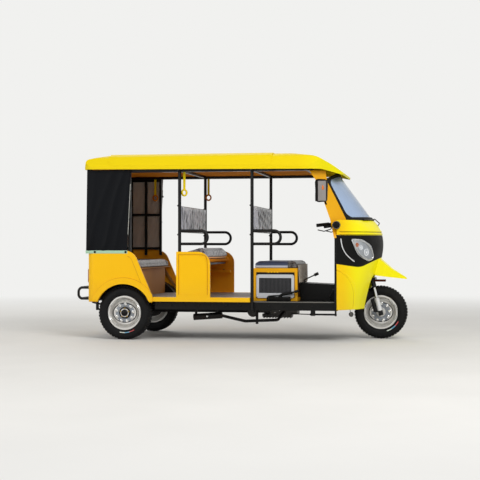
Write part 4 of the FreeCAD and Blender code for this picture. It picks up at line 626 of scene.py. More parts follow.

# %% The driver's cover
# Navy vinyl on top, dull with wear and darker in its creases as painted shade; a bright band round the
# side, and printed cloth ahead of the nose line.
BAND_TOP, NOSE_X = 0.738, 0.492
navy_vinyl, tree, shader, place = start("vinyl_calendered_navy", Roughness=0.42, Coat_Weight=0.12,
                                        Coat_Roughness=0.25, Specular_IOR_Level=0.3)
x, y, z = add(tree, "SeparateXYZ", {"Vector": place}).outputs
crease = add(tree, "TexNoise", {"Vector": place, "Scale": per_mm(70), "Detail": 4.0})
flecks = add(tree, "TexNoise", {"Vector": place, "Scale": per_mm(22), "Detail": 6.0, "Distortion": 1.0})
spots = add(tree, "MapRange", {"Value": flecks, "From Min": 0.45, "From Max": 0.6})
band = add(tree, "MapRange", {"Value": z, "From Min": BAND_TOP, "From Max": BAND_TOP - 0.006})
nose = add(tree, "MapRange", {"Value": x, "From Min": NOSE_X, "From Max": NOSE_X + 0.004})
navy = add(tree, "Mix", {"Factor": crease, 6: "#1C2338", 7: "#434C66"})
cloth = add(tree, "Mix", {"Factor": spots, 6: "#605B58", 7: "#1F1D1E"})
banded = add(tree, "Mix", {"Factor": band, 6: navy, 7: "#ADAFB8"})
fill(shader, {"Base Color": add(tree, "Mix", {"Factor": nose, 6: banded, 7: cloth}),
              "Normal": add(tree, "Bump", {"Height": crease, "Strength": 0.25, "Distance": 0.006})})

# %% [markdown]
# A pad is foam in a sewn cover, fuller than the board below it. It starts as a block a little smaller than
# the finished pad, cut into an even net. Cloth with air pressure inside then swells it for twenty frames,
# which rounds the edges and leaves the faint wrinkles of a filled cover. The underside is pinned where it
# lies on its board. The seam comes afterwards, as a groove pressed in round the sides.

# %% Filling a cover
def swell(piece, cap):
    """Blow the cover up with cloth, no point further than cap metres."""
    before = [corner.co.copy() for corner in piece.data.vertices]
    only(piece)
    filling = piece.modifiers.new("filling", "CLOTH")
    filling.settings.use_pressure = True
    filling.settings.uniform_pressure_force = 4.0
    filling.settings.effector_weights.gravity = 0.0
    filling.settings.vertex_group_mass = "held"
    filling.settings.quality = 3
    filling.collision_settings.use_collision = False
    for number in range(1, 21):
        bpy.context.scene.frame_set(number)
    bpy.ops.object.modifier_apply(modifier="filling")
    bpy.context.scene.frame_set(1)
    for corner, was in zip(piece.data.vertices, before):
        moved = corner.co - was
        if moved.length > cap:
            corner.co = was + moved.normalized() * cap


def stuffed(node, material, smaller, cap, voxel, held):
    """A filled cover in place of a solid pad; it starts smaller by these steps at its low and high corners."""
    low, high = (Vector(corner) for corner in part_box(node))
    low += Vector(smaller[0])
    high -= Vector(smaller[1])
    piece = slab(low, high, min(high - low) * 0.28, 4)
    settle()
    cover = piece.modifiers.new("cover", "REMESH")
    cover.mode = "VOXEL"
    cover.voxel_size = voxel
    bpy.ops.object.modifier_apply(modifier="cover")
    group = piece.vertex_groups.new(name="held")
    group.add([corner.index for corner in piece.data.vertices if held(corner.co, low, high)], 1.0, "REPLACE")
    swell(piece, cap)
    finer = piece.modifiers.new("finer", "SUBSURF")
    finer.levels = finer.render_levels = 1
    finish(piece, node + "_pad", material, angle=60)
    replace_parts(piece, node)
    print(piece.name, len(piece.data.vertices), "vertices, height", round(piece.dimensions.z * 1000), "mm")
    return piece


# %% The three cushions
def clamped(share):
    """The share, no less than 0 and no more than 1."""
    return max(0.0, min(1.0, share))


def on_its_board(co, low, high):
    """The underside, which lies on the board."""
    return co.z < low.z + 0.006


rear_pad = stuffed("rear_cushion", plaid, ((0.008, 0.010, 0.0), (0.010, 0.010, 0.016)), 0.020, 0.015,
                   on_its_board)
mid_pad = stuffed("mid_cushion", plaid, ((0.008, 0.008, 0.0), (0.008, 0.008, 0.014)), 0.018, 0.013,
                  on_its_board)
# The sewn ends and the back of the long middle pad are drawn down, so it lies lower at the side panels.
for corner in mid_pad.data.vertices:
    end = clamped((abs(corner.co.y) - 0.40) / 0.18)
    back = clamped((-0.390 - corner.co.x) / 0.11)
    corner.co.z -= (0.034 * end * end * (1 - back) + 0.036 * back) * clamped((corner.co.z - 0.820) / 0.06)
driver_pad = stuffed("driver_cushion", navy_vinyl, ((-0.042, 0.008, 0.0), (0.006, 0.008, 0.004)), 0.014, 0.011,
                     on_its_board)

# %% Sewn seams
SEAM_HALF, SEAM_DEPTH = 0.007, 0.005
for pad in (rear_pad, mid_pad, driver_pad):
    bottom, top = pad.bound_box[0][2], pad.bound_box[6][2]
    facing = [corner.normal.copy() for corner in pad.data.vertices]
    for corner, normal in zip(pad.data.vertices, facing):
        near = 1 - abs(corner.co.z - (bottom + (top - bottom) * 0.42)) / SEAM_HALF
        if near > 0 and abs(normal.z) < 0.8:
            corner.co -= Vector((normal.x, normal.y, 0)) * SEAM_DEPTH * near * near

# %% [markdown]
# The backs hang on their frames as loose covers over thin foam. The gathers run up and down, a little
# aslant, and no two are alike, so several waves of different widths are added together and pressed into
# both faces.

# %% Gathered backs
def gathers(y, z, seed):
    """Depth of the folds at a point of a back, from -1 to 1."""
    total = 0.0
    for number, (width, lean) in enumerate(((0.094, 0.30), (0.058, -0.42), (0.033, 0.26), (0.190, -0.50))):
        total += math.sin(6.283 * (y + lean * z) / width + seed * (number + 1.7)) / (1.4 + number * 0.5)
    return total / 2


def at_its_sides(co, low, high):
    """Both ends of a back, which are sewn round the frame."""
    return abs(co.y) > high.y - 0.012


smaller = (0.004, 0.006, 0.006)
BACKS = [("mid_backrest", 0.0065), ("driver_backrest", 0.0065), ("rear_backrest", 0.005)]
for seed, (node, depth) in enumerate(BACKS):
    back = stuffed(node, silver_vinyl, (smaller, smaller), 0.006, 0.011, at_its_sides)
    bottom, top = back.bound_box[0][2], back.bound_box[6][2]
    facing = [corner.normal.x for corner in back.data.vertices]
    for corner, forward in zip(back.data.vertices, facing):
        if abs(forward) > 0.5:
            fade = max(0.15, min(1.0, (top - corner.co.z) / 0.05, (corner.co.z - bottom) / 0.03))
            folded = gathers(corner.co.y, corner.co.z, seed) - 0.5
            corner.co.x += math.copysign(depth, forward) * fade * folded
    print(back.name, "gathered")

# %% [markdown]
# ## Curtains
# The rear quarter is closed by curtains of coated cloth, charcoal outside and paler inside. Each is cut
# flat and stretched between snaps, so it keeps its outline, while long soft creases run from corner to
# corner. A fine grid is pressed out of its plane along those lines and then given the cloth's own thickness
# of about a millimetre.

# %% Curtain cloth
CLOTH = 0.0012  # thickness of every cloth


def canvas(name, colour, deep, weave_mm=2.5):
    """Coated cloth: a fine weave under a dull film, a little cloudy."""
    material, tree, shader, place = start(name, Specular_IOR_Level=0.08)
    cloud = add(tree, "TexNoise", {"Vector": place, "Scale": per_mm(180), "Detail": 5.0})
    gloss = add(tree, "MapRange", {"Value": cloud, "To Min": 0.38, "To Max": 0.6})
    shade = add(tree, "Mix", {"Factor": cloud, 6: deep, 7: colour})
    fill(shader, {"Base Color": shade, "Roughness": gloss, "Normal": grain(tree, place, weave_mm, 0.2)})
    return material


# PVC-coated polyester: charcoal film outside, the bare grey-brown cloth inside. Its threads are half a
# millimetre apart and too fine to show, so they are drawn five times as coarse.
curtain_cloth = canvas("polyester_coated_charcoal", "#101216", "#0A0B0E")
curtain_back = canvas("polyester_woven_back", "#CFC5BA", "#B2A89E")
# Woven polypropylene tape, pale green, and a twisted cord.
hem_tape = canvas("polypropylene_woven_tape", "#B9D8BE", "#93BB9C", 3.0)
pale_cord = canvas("polyester_twisted_cord", "#C9C9C4", "#96958F", 3.0)


# %% Creases
CREASES = [  # middle, lean and width as shares of the cloth, height in millimetres
    (0.62, 0.42, 0.050, 8.0), (0.30, 0.55, 0.07, 5.0), (0.12, 0.10, 0.05, 3.0), (0.86, 0.30, 0.045, 4.0)]


def creased(across, up, seed):
    """How far the cloth stands out at a place between 0 and 1 across and up, in metres."""
    total = 0.0
    for number, (middle, lean, width, height) in enumerate(CREASES):
        away = across - (middle + lean * (up - 0.5) + 0.02 * math.sin(7 * up + seed + number))
        total += height * math.exp(-(away / width) ** 2)
    calm = min(1.0, 14 * across, 14 * (1 - across), 14 * up, 14 * (1 - up))
    return 0.001 * calm * (total + 1.2 * math.sin(5 * across + 3 * up + seed))


def hang(name, node, corner, right, rise, outward, seed, widen=0.0, cells=(36, 64)):
    """A curtain from its lower corner along two edges, wider at the top; the inside shows the bare cloth."""
    corner, right, rise, outward = (Vector(value) for value in (corner, right, rise, outward))
    piece = net(*cells, lambda across, up: corner + right * (across + widen * up * (across - 0.5)) + rise * up
                + outward * creased(across, up, seed))
    thicken(piece, CLOTH)
    finish(piece, name, curtain_cloth)
    piece.data.materials.append(curtain_back)
    for face in piece.data.polygons:
        if face.normal.dot(outward) < -0.3:
            face.material_index = 1
    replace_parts(piece, node)


# %% [markdown]
# Each curtain ends in a hem of pale tape, folded over its lower edge and held by black snaps; the upper
# edge has the same snaps, the front edge two short ties and a thin cord sewn into its fold. The side
# curtains lean a little back towards their feet.

# %% The three curtains
CURTAIN_Y, FOOT_Z, HEIGHT = 0.6605, 0.870, 0.820


def hem(low, high, name):
    """A band of tape over a curtain's foot."""
    finish(slab(low, high, 0.0018, 2), "curtain_hem_" + name, hem_tape)


def snap(place, outward, name):
    """A press stud: a low turned button with a dimple."""
    rings = [(0.011, 0.0), (0.0115, 0.0015), (0.0105, 0.004), (0.006, 0.0052), (0.0045, 0.0036)]
    finish(stack(rings, place, outward, 20), name, black_abs)


def front_edge(z):
    """Where the side curtain's front edge is at a height."""
    return -1.0675 + 0.041 * (z - FOOT_Z) / HEIGHT


# %% Hanging them up
SIDES = (("right", -1), ("left", 1))
for hand, sign in SIDES:
    y = sign * CURTAIN_Y
    hang("side_curtain_" + hand, "side_curtains", (-1.489, y, FOOT_Z), (0.420, 0, 0), (0.026, 0, HEIGHT),
         (0, sign, 0), 1.25 + 0.85 * sign, 0.071)
    hem((-1.494, y - 0.002, 0.853), (-1.064, y + 0.002, 0.883), hand)
    for number, (x, z) in enumerate(((-1.398, 0.868), (-1.082, 0.868), (-1.372, 1.668), (-1.052, 1.668))):
        snap((x, y + sign * 0.0018, z), (0, sign, 0), f"curtain_snap_{hand}_{number}")
    cord = wire([(front_edge(z), y, z) for z in (1.04, 1.1, 1.3, 1.45, 1.54)], 0.006)
    finish(cord, "curtain_edge_cord_" + hand, pale_cord)
    for number, z in enumerate((1.47, 1.19)):
        x = front_edge(z)
        tie = slab((x - 0.010, y - 0.002, z - 0.010), (x + 0.012, y + 0.002, z + 0.010), 0.0018, 2)
        finish(tie, f"curtain_tie_{hand}_{number}", black_rubber)
hang("rear_curtain_cloth", "rear_curtain", (-1.4860, -0.6585, FOOT_Z), (0, 1.317, 0), (0.024, 0, HEIGHT),
     (-1, 0, 0), 3.3, cells=(72, 48))
hem((-1.4884, -CURTAIN_Y, 0.853), (-1.4838, CURTAIN_Y, 0.883), "rear")
for number, y in enumerate((-0.58, -0.2, 0.2, 0.58)):
    snap((-1.4880, y, 0.868), (-1, 0, 0), f"rear_snap_{number}")
    snap((-1.4632, y, 1.668), (-1, 0, 0), f"rear_snap_high_{number}")
print("curtains hung")

# %% [markdown]
# ## Roof lining
# From below the roof shows a board with a raised middle, brown-orange as painted shade. A slab is laid
# on the roof bars, its underside inset into a frame, and the field inside pushed up.

# %% Lining
lining = slab((-1.425, -0.672, 1.6822), (0.740, 0.672, 1.6882))
inset(lining, (0, 0, -1), (0.115, 0), (0.022, -0.0045))
soften(lining, 0.001, 1)
finish(lining, "roof_lining", lining_painted_shade_orange)

# %% [markdown]
# ## Wheels
# A pressed steel rim has a rolled bright lip, a dark drop between lip and disc, and a ring of round bosses
# in the disc. Round the hub sit the wheel nuts and a black cap. The same set is turned for each face of a
# wheel; the front wheel has it on both sides.

# %% Wheel trims
REAR_X, FRONT_X, WHEEL_Z = -1.107, 1.389, 0.265


def beside(x, y, z, radius, turn):
    """A point so far from an axis that runs sideways through x, z."""
    return x + radius * math.cos(turn), y, z + radius * math.sin(turn)


def wheel_set(name, x, y, body):
    """Lip, groove, disc and bosses on one face of a wheel, and a cap and nuts on a rear one."""
    out = -1 if y < 0 else 1
    face = (0, out, 0)
    for part, radius, thick, offset, material in (
            ("lip", 0.1655, 0.0075, 0.0, bright_steel), ("bead", 0.151, 0.004, -0.004, bright_steel),
            ("groove", 0.1195, 0.009, -0.021, black_rubber)):
        ring = hoop((x, y + out * offset, WHEEL_Z), radius, thick, 72, 10, 0.8)
        finish(ring, f"{name}_{part}", material, body)
    y -= out * 0.026
    disc = stack([(0.1130, -0.002), (0.1130, 0.0008), (0.1100, 0.0020), (0.0620, 0.0024), (0.0560, 0.0010)],
                 (x, y, WHEEL_Z), face, 60)
    finish(disc, name + "_disc", disc_painted_shade_grey, body)
    boss = [(0.0175, 0.000), (0.0170, 0.004), (0.0145, 0.0085), (0.0105, 0.0100), (0.008, 0.0050)]
    bosses = [stack(boss, beside(x, y, WHEEL_Z, 0.086, number * math.tau / 9 + 0.1), face, 18)
              for number in range(9)]
    finish(join(bosses), name + "_bosses", bright_steel, body)
    if x == REAR_X:
        cap = stack([(0.058, -0.002), (0.058, 0.010), (0.050, 0.016), (0.034, 0.018), (0.031, 0.034),
                     (0.022, 0.040), (0.006, 0.042)], (x, y, WHEEL_Z), face, 40)
        finish(cap, name + "_cap", black_enamel, body)
        nut = [(0.0075, 0.0), (0.0078, 0.002), (0.0078, 0.008), (0.0065, 0.010), (0.003, 0.0125)]
        nuts = [stack(nut, beside(x, y + out * 0.0155, WHEEL_Z, 0.044, number * math.tau / 5 + 0.3), face, 6)
                for number in range(5)]
        finish(join(nuts), name + "_nuts", brass, body, 20)


wheel_set("wheel_right", REAR_X, -0.618, "rear_wheel_right")
wheel_set("wheel_left", REAR_X, 0.618, "rear_wheel_left")
wheel_set("wheel_front_right", FRONT_X, -0.0455, "front_wheel")
wheel_set("wheel_front_left", FRONT_X, 0.0455, "front_wheel")
print("wheel trims done")

# %% [markdown]
# Low on each outer sidewall there is a short curved mark in pale, blue and red, as tyre makers press on new
# tyres. Here it is a plain band of three colours without words, a thin strip laid on the rubber.

# %% Sidewall marks
COLOURS = [("pale", "#D5DDD2", "#8C948B"), ("blue", "#6AA6C4", "#4A6B7C"), ("red", "#C2474A", "#7C3335")]
# Marking paint soaks into the rubber, so it stays matt and wears off in spots.
PAINTS = [(part, coating("rubber_paint_" + part, light, worn, 0.5, 0.2)) for part, light, worn in COLOURS]
for name, x, y, body, first, last in (("mark_right", REAR_X, -0.6325, "rear_wheel_right", -103, -58),
                                      ("mark_front", FRONT_X, -0.0605, "front_wheel", -72, -28)):
    span = (last - first) / len(PAINTS)
    for number, (part, paint) in enumerate(PAINTS):
        strip = wire([beside(x, y, WHEEL_Z, 0.196, math.radians(first + span * (number + step / 10)))
                      for step in range(11)], 0.010, order=2)
        resize(strip, (1, 0.18, 1), (x, y, WHEEL_Z))
        finish(strip, f"{name}_{part}", paint, body)
print("marks done")

# %% [markdown]
# ## Lamps and mirrors
# A headlamp is a clear moulded cover over a bright bowl, with a silver surround. The solid of the cover is
# clear already. A copy of it, a little larger and sunk, makes the surround; another, smaller, makes the
# bright inside; turned reflectors and a small amber indicator sit in that. A ray sent in from the side
# finds the skin to sit on.

# %% Headlamps
def on_skin(node, x, z, lift):
    """The point of a solid's right-hand side at x and z, lifted off it, and the direction it faces."""
    met, place, normal, face = nodes[node].ray_cast(Vector((x, -2, z)), Vector((0, 1, 0)))
    return place + normal * lift, normal


def lamp_copy(name, grow, sink, material):
    """A copy of the right-hand lamp cover, resized about its middle and sunk towards the body."""
    piece = copied(nodes["headlamps"], Matrix())
    piece.parent = None
    choose(piece, "VERT", lambda co, normal: co.y > 0)
    bpy.ops.mesh.delete(type="VERT")
    bpy.ops.mesh.select_all(action="SELECT")
    bpy.ops.mesh.remove_doubles(threshold=0.0001)
    mode("OBJECT")
    middle = sum((corner.co for corner in piece.data.vertices), Vector()) / len(piece.data.vertices)
    choose(piece, "VERT", anywhere)
    bpy.ops.transform.resize(value=(grow, grow, grow), center_override=middle)
    bpy.ops.transform.translate(value=Vector((-0.78, 0.62, 0)) * sink)
    mode("OBJECT")
    return finish(piece, name, material)


# Metallised polycarbonate: nearly white, with a broad gloss from its stippled back.
chrome_bowl = coating("polycarbonate_metallised", "#FBFCFD", "#C9D2DC", 0.25, 0.5, 9.0, 0.3, 0.1)
lamp_parts = [lamp_copy("headlamp_surround_right", 1.07, 0.0075, silver_trim),
              lamp_copy("headlamp_bowl_right", 0.90, 0.0055, chrome_bowl)]
REFLECTOR = [(0.9, -0.003), (1, 0.004), (0.92, 0.0062), (0.7, 0.0030), (0.38, 0.0012), (0.30, 0.0045),
             (0.1, 0.0056)]
for name, x, z, radius, material in (("main", 1.272, 0.866, 0.036, chrome_bowl),
                                     ("dip", 1.222, 0.912, 0.024, chrome_bowl),
                                     ("indicator", 1.190, 0.938, 0.020, amber_lens)):
    rings = [(radius * share, height) for share, height in REFLECTOR]
    reflector = stack(rings, *on_skin("headlamps", x, z, -0.0048), 32)
    lamp_parts.append(finish(reflector, f"headlamp_{name}_right", material))

# %% [markdown]
# A bright bead frames the cover. Its points lie on the outline as it shows from the side; where a ray just
# misses the skin, it is sent a little nearer to the lamp's middle.

# %% Headlamp rim
LAMP_MIDDLE = (1.25, 0.89)
LAMP_EDGE = [(1.153, 0.984), (1.190, 0.985), (1.235, 0.977), (1.274, 0.953), (1.303, 0.922), (1.320, 0.880),
             (1.331, 0.832), (1.323, 0.803), (1.300, 0.791), (1.266, 0.801), (1.226, 0.832), (1.196, 0.868),
             (1.173, 0.913), (1.157, 0.955)]
edge = []
for x, z in LAMP_EDGE:
    for share in (0.0, 0.04, 0.08, 0.12, 0.16):
        inner_x, inner_z = x + (LAMP_MIDDLE[0] - x) * share, z + (LAMP_MIDDLE[1] - z) * share
        spot, normal = on_skin("headlamps", inner_x, inner_z, 0.0005)
        if normal.length > 0.5:
            edge.append(spot)
            break
print("headlamp rim from", len(edge), "of", len(LAMP_EDGE), "points")
lamp_parts.append(finish(wire(edge, 0.009, closed=True), "headlamp_rim_right", bright_steel))
for piece in lamp_parts:
    mirrored(piece)

# %% [markdown]
# On each side of the dark mask a thin silver blade curves down and forward: a painted highlight, where a
# curved groove catches the light. The round side lamps have a plain grey ring. The blades are tubes along
# points on the skin.

# %% Silver blades and side lamps
SIDE_LAMP = (1.0, -0.6675, 1.128)
PAINTED_HIGHLIGHT_LINE = [(1.039, 0.998), (1.045, 0.940), (1.064, 0.884), (1.103, 0.824), (1.160, 0.778)]
# The silver strip is a painted highlight of a curved groove.
blade = wire([on_skin("cowl_mask", x, z, 0.0015)[0] for x, z in PAINTED_HIGHLIGHT_LINE], 0.011)
mirrored(finish(blade, "cowl_blade_right", silver_trim))
mirrored(finish(hoop(SIDE_LAMP, 0.0350, 0.0044, 48, 10, 1), "side_lamp_ring_right", grey_steel))
face = stack([(0.030, -0.001), (0.030, 0.0015), (0.022, 0.0045), (0.010, 0.0058), (0.002, 0.0060)], SIDE_LAMP,
             (0, -1, 0), 36)
mirrored(finish(face, "side_lamp_face_right", black_abs))

# %% [markdown]
# A mirror's black housing carries a grey cover on its outer face with an indicator set in it, and the glass
# on the face that looks back.

# %% Mirror covers, indicators and glass
# Silvered glass gives a clean reflection; the painted cover round it is a warm, half-glossy grey.
mirror_glass = coating("glass_silvered", "#E9ECEE", "#D2D6D9", 0.05, 0.1, 9.0, 0.0, 1.0)
mirror_shell = coating("abs_painted_warm_grey", "#8E8987", "#6C6866", 0.35, 0.3, 2.0, 0.04, 0.2)
cover = slab((0.836, -0.7735, 1.356), (0.913, -0.766, 1.546), 0.0035, 3)
inset(cover, (0, -1, 0), (0.004, -0.0012))
mirrored(finish(cover, "mirror_cover_right", mirror_shell))
INDICATOR = (0.883, -0.7722, 1.482)
light = stack([(0.012, 0.0), (0.0125, 0.0025), (0.009, 0.0045), (0.003, 0.0052)], INDICATOR, (0, -1, 0), 28)
resize(light, (0.8, 1, 1.9), INDICATOR)
mirrored(finish(light, "mirror_indicator_right", amber_lens))
glass = slab((0.8062, -0.762, 1.352), (0.8102, -0.708, 1.548), 0.0015, 2)
mirrored(finish(glass, "mirror_glass_right", mirror_glass))

# %% [markdown]
# ## The driver's box
# Behind the silver grille lies a radiator core: a dark panel of fine fins. A black sheet closes the rest of
# that side, four small slots are cut above, and four screws hold the grille. The grille's frame stayed
# bright, while the bars in its window were sprayed dark like the core; the distance from the window's
# middle tells them apart.

# %% Fins and the two-tone grille
# Folded aluminium fins, dusty: dark grey with fine upright lines, 2 mm apart and drawn at 6 mm to show.
# The gaps between fins and tubes are darker as painted shade.
core_fins, tree, shader, place = start("aluminium_folded_fins", Roughness=0.75, Metallic=0.1)
fins = add(tree, "TexWave", {"Vector": place, "Scale": wave_per_mm(6)}, bands_direction="X")
tubes = add(tree, "TexWave", {"Vector": place, "Scale": wave_per_mm(9)}, bands_direction="Z")
crossing = add(tree, "Math", {0: fins, 1: tubes}, operation="MULTIPLY")
fill(shader, {"Base Color": add(tree, "Mix", {"Factor": crossing, 6: "#161617", 7: "#39393B"}),
              "Normal": add(tree, "Bump", {"Height": crossing, "Strength": 0.6, "Distance": 0.002})})

# Pressed aluminium: a bright frame round dark bars.
WINDOW_MIDDLE, WINDOW_HALF_X, WINDOW_HALF_Z = (0.3725, -0.403, 0.537), 0.1600, 0.0730
grille_silver, tree, shader, place = start("aluminium_pressed_two_tone", Roughness=0.45, Metallic=0.2,
                                           Specular_IOR_Level=0.3)
away = add(tree, "VectorMath", {0: place, 1: WINDOW_MIDDLE}, operation="SUBTRACT")
reach = add(tree, "VectorMath", {0: away}, operation="ABSOLUTE")
x, y, z = add(tree, "SeparateXYZ", {"Vector": reach}).outputs
wide = add(tree, "Math", {0: x, 1: WINDOW_HALF_X}, operation="LESS_THAN")
tall = add(tree, "Math", {0: z, 1: WINDOW_HALF_Z}, operation="LESS_THAN")
within = add(tree, "Math", {0: wide, 1: tall}, operation="MULTIPLY")
fill(shader, {"Base Color": add(tree, "Mix", {"Factor": within, 6: "#C6C8CC", 7: "#515155"})})
for slot in nodes["cooling_grille"].material_slots:
    slot.material = grille_silver

# %% Radiator core, sheets, slots and screws
core = slab((0.206, -0.4035, 0.440), (0.539, -0.3955, 0.622))
inset(core, (0, -1, 0), (0.012, 0), (0.004, -0.003))
finish(core, "radiator_core", core_fins)
finish(slab((0.158, -0.3945, 0.398), (0.587, -0.3925, 0.690), 0.0006, 1), "seat_box_sheet", black_enamel)
slots = [slab((0.296 + 0.030 * number, -0.3972, 0.664), (0.312 + 0.030 * number, -0.3944, 0.674), 0.0012, 2)
         for number in range(4)]
finish(join(slots), "seat_box_slots", tub_yellow)
screw = [(0.0055, -0.001), (0.0058, 0.0008), (0.0048, 0.0026), (0.0022, 0.0031)]
screws = [stack(screw, (x, -0.410, z), (0, -1, 0), 16) for z in (0.427, 0.634) for x in (0.197, 0.548)]
finish(join(screws), "grille_screws", bright_steel)
front_sheet = slab((0.5800, -0.382, 0.400), (0.5830, 0.382, 0.690), 0.0008, 1)
inset(front_sheet, (1, 0, 0), (0.03, -0.001))
# Brushed enamel, half glossy and cloudy; its dark brown is painted shade on the box's front.
box_front_painted_shade = enamel("enamel_brushed_brown_painted_shade", "#6B3A0B", "#4A2506")
finish(front_sheet, "seat_box_front", box_front_painted_shade)

# %% [markdown]
# The front of the driver's pad is a loose cloth that hangs over the edge of the box, printed in beige and
# brown. It is a grid dropped from the edge, waved a little where nothing holds it.

# %% Hanging front cloth
# Printed cotton: matt, a little fuzzy, with cloudy spots.
beige_cloth, tree, shader, place = start("cotton_printed_beige", Roughness=0.85, Sheen_Weight=0.15)
spots = add(tree, "TexNoise", {"Vector": place, "Scale": per_mm(30), "Detail": 5.0, "Distortion": 1.2})
spread = add(tree, "MapRange", {"Value": spots, "From Min": 0.44, "From Max": 0.58})
fill(shader, {"Base Color": add(tree, "Mix", {"Factor": spread, 6: "#B9A48E", 7: "#E6D8C4"}),
              "Normal": grain(tree, place, 2.5, 0.3)})


def hanging(across, up):
    """A point of the front cloth, which waves more towards its lower edge."""
    y, down = (across - 0.5) * 0.770, 1 - up
    wave = math.sin(y * 62) + 0.6 * math.sin(y * 31 + 1.3)
    out, fall = 0.004 * down * (wave + 1.2), 0.178 * down - 0.003 * down * math.sin(y * 18)
    return Vector((0.5985 + out, y, 0.742 - fall))


front_cloth = net(60, 24, hanging)
thicken(front_cloth, CLOTH)
finish(front_cloth, "driver_front_cloth", beige_cloth)

# %% [markdown]
# ## Engine
# Under the driver's box sits a small single-cylinder engine. Its block is cast with cooling fins, with a
# round cover on each side. Fins are faces pushed out of a block that was cut into slices, every second
# slice above the plain foot.

# %% Engine block with fins
SLICES, PLAIN_FOOT, RIM = 24, 0.13, Vector((0.012, 0.012, 0.0))
low, high = (Vector(corner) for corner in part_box("engine_block"))
engine = slab(low + RIM, high - RIM)
choose(engine, "EDGE", lambda middle, along: abs(along.z) > 0.9)
bpy.ops.mesh.subdivide(number_cuts=SLICES - 1)
mode("OBJECT")
settle()
slice_high = (high.z - low.z) / SLICES
choose(engine, "FACE", lambda middle, normal: abs(normal.z) < 0.5 and middle.z > low.z + PLAIN_FOOT
       and int((middle.z - low.z) / slice_high) % 2 == 0)
bpy.ops.mesh.extrude_region_shrink_fatten(TRANSFORM_OT_shrink_fatten={"value": 0.010})
mode("OBJECT")
soften(engine, 0.0018, 2)
finish(engine, "engine_casting", cast_grey)
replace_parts(engine, "engine_block")
LID = [(0.062, -0.004), (0.062, 0.004), (0.056, 0.0085), (0.030, 0.0095), (0.026, 0.0055), (0.008, 0.0060)]
SMALL_BOLT = [(0.0045, 0.0), (0.0045, 0.004), (0.003, 0.0050)]
COVER_X, COVER_Z = 0.335, 0.305
for hand, sign in SIDES:
    lid = stack(LID, (COVER_X, sign * 0.118, COVER_Z), (0, sign, 0), 40)
    finish(lid, "engine_cover_" + hand, cast_grey)
    bolts = [stack(SMALL_BOLT, beside(COVER_X, sign * 0.1255, COVER_Z, 0.050, turn), (0, sign, 0), 6)
             for turn in (0.4, 1.45, 2.5, 3.54, 4.6, 5.65)]
    finish(join(bolts), "engine_bolts_" + hand, bright_steel)
print("engine dressed")

# %% [markdown]
# ## Windscreen
# The screen is one sheet of bent laminated glass in a moulded rubber frame. Both follow the same surface,
# ruled between a lower and an upper arc. The frame is a loop of edges, extruded inwards to a second loop
# with rounder corners and then given its depth; the glass is a grid laid in its groove.

# %% The screen's surface
SCREEN_ARCS = [  # side x, half width, side z, middle x, middle z
    (1.086, 0.500, 1.180, 1.312, 1.182), (0.892, 0.548, 1.572, 0.968, 1.650)]
SCREEN_IN = Vector((-0.806, 0, -0.592))
SCREEN_HALF, SCREEN_TALL = 0.564, 0.255
CORNERS = ((1, 1), (-1, 1), (-1, -1), (1, -1))


def on_screen(across, up, sink):
    """A point of the screen's surface: across from -1 to 1, up from 0 to 1, sunk into the cab."""
    ends = []
    for side_x, half, side_z, middle_x, middle_z in SCREEN_ARCS:
        rise = Vector((middle_x - side_x, 0, middle_z - side_z))
        radius = (half ** 2 + rise.length ** 2) / (2 * rise.length)
        turn = math.asin(half / radius) * across
        ends.append(Vector((side_x, radius * math.sin(turn), side_z))
                    + rise.normalized() * (radius * (math.cos(turn) - 1) + rise.length))
    return ends[0].lerp(ends[1], up) + SCREEN_IN * sink


def screen_loop(inwards, corner, steps=14):
    """A rounded rectangle on the screen as shares across and up, the same number of points for any size."""
    def bend(number, quarters):
        """A point of a corner's arc, after so many quarter turns."""
        x, y = CORNERS[number % 4]
        turn = quarters * math.pi / 2
        return Vector((x * (SCREEN_HALF - inwards - corner) + corner * math.cos(turn),
                       y * (SCREEN_TALL - inwards - corner) + corner * math.sin(turn)))

    points = []
    for number in range(4):
        points += [bend(number, number + step / (steps - 1)) for step in range(steps)]
        points += [bend(number, number + 1).lerp(bend(number + 1, number + 1), step / steps)
                   for step in range(1, steps)]
    return [(x / SCREEN_HALF, 0.5 + y / (2 * SCREEN_TALL)) for x, y in points]


# %% Glass and its rubber
outer, inner = screen_loop(-0.004, 0.014), screen_loop(0.030, 0.070)
bpy.ops.object.select_all(action="DESELECT")
bpy.ops.mesh.primitive_circle_add(vertices=len(outer), radius=1)
rubber = bpy.context.object
choose(rubber, "VERT", anywhere)
bpy.ops.mesh.extrude_region_move(TRANSFORM_OT_translate={"value": (0, 0, 1)})
mode("OBJECT")
for point in rubber.data.vertices:
    number = round(math.atan2(point.co.y, point.co.x) / math.tau * len(outer)) % len(outer)
    point.co = on_screen(*(inner if point.co.z > 0.5 else outer)[number], -0.006)
thicken(rubber, 0.017)
finish(rubber, "windscreen_rubber", black_rubber, angle=50)
for point in rubber.data.vertices:
    point.co += SCREEN_IN * 0.0075
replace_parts(rubber, "windscreen_gasket")
glass = net(48, 24, lambda across, up: on_screen((across - 0.5) * 1.965, 0.5 + (up - 0.5) * 0.965, 0.0075))
thicken(glass, 0.005)
finish(glass, "windscreen_glass", screen_glass)
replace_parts(glass, "windscreen")
print("screen", len(rubber.data.polygons), "faces of rubber")

# %% [markdown]
# ## Front fork
# Each leg slides in a bright turned sleeve, with a coil spring in a dark sleeve behind it, and a small
# reddish-brown guard plate covers the crown. A coil is a tube along a helix, so one line gives each spring.

# %% Sleeves, springs and guard plate
RAKE = math.radians(15)
COILS, COIL_POINTS, COIL_RADIUS = 9, 8, 0.0185
up_leg = Vector((-math.sin(RAKE), 0, math.cos(RAKE)))
behind_leg = Vector((-up_leg.z, 0, up_leg.x))
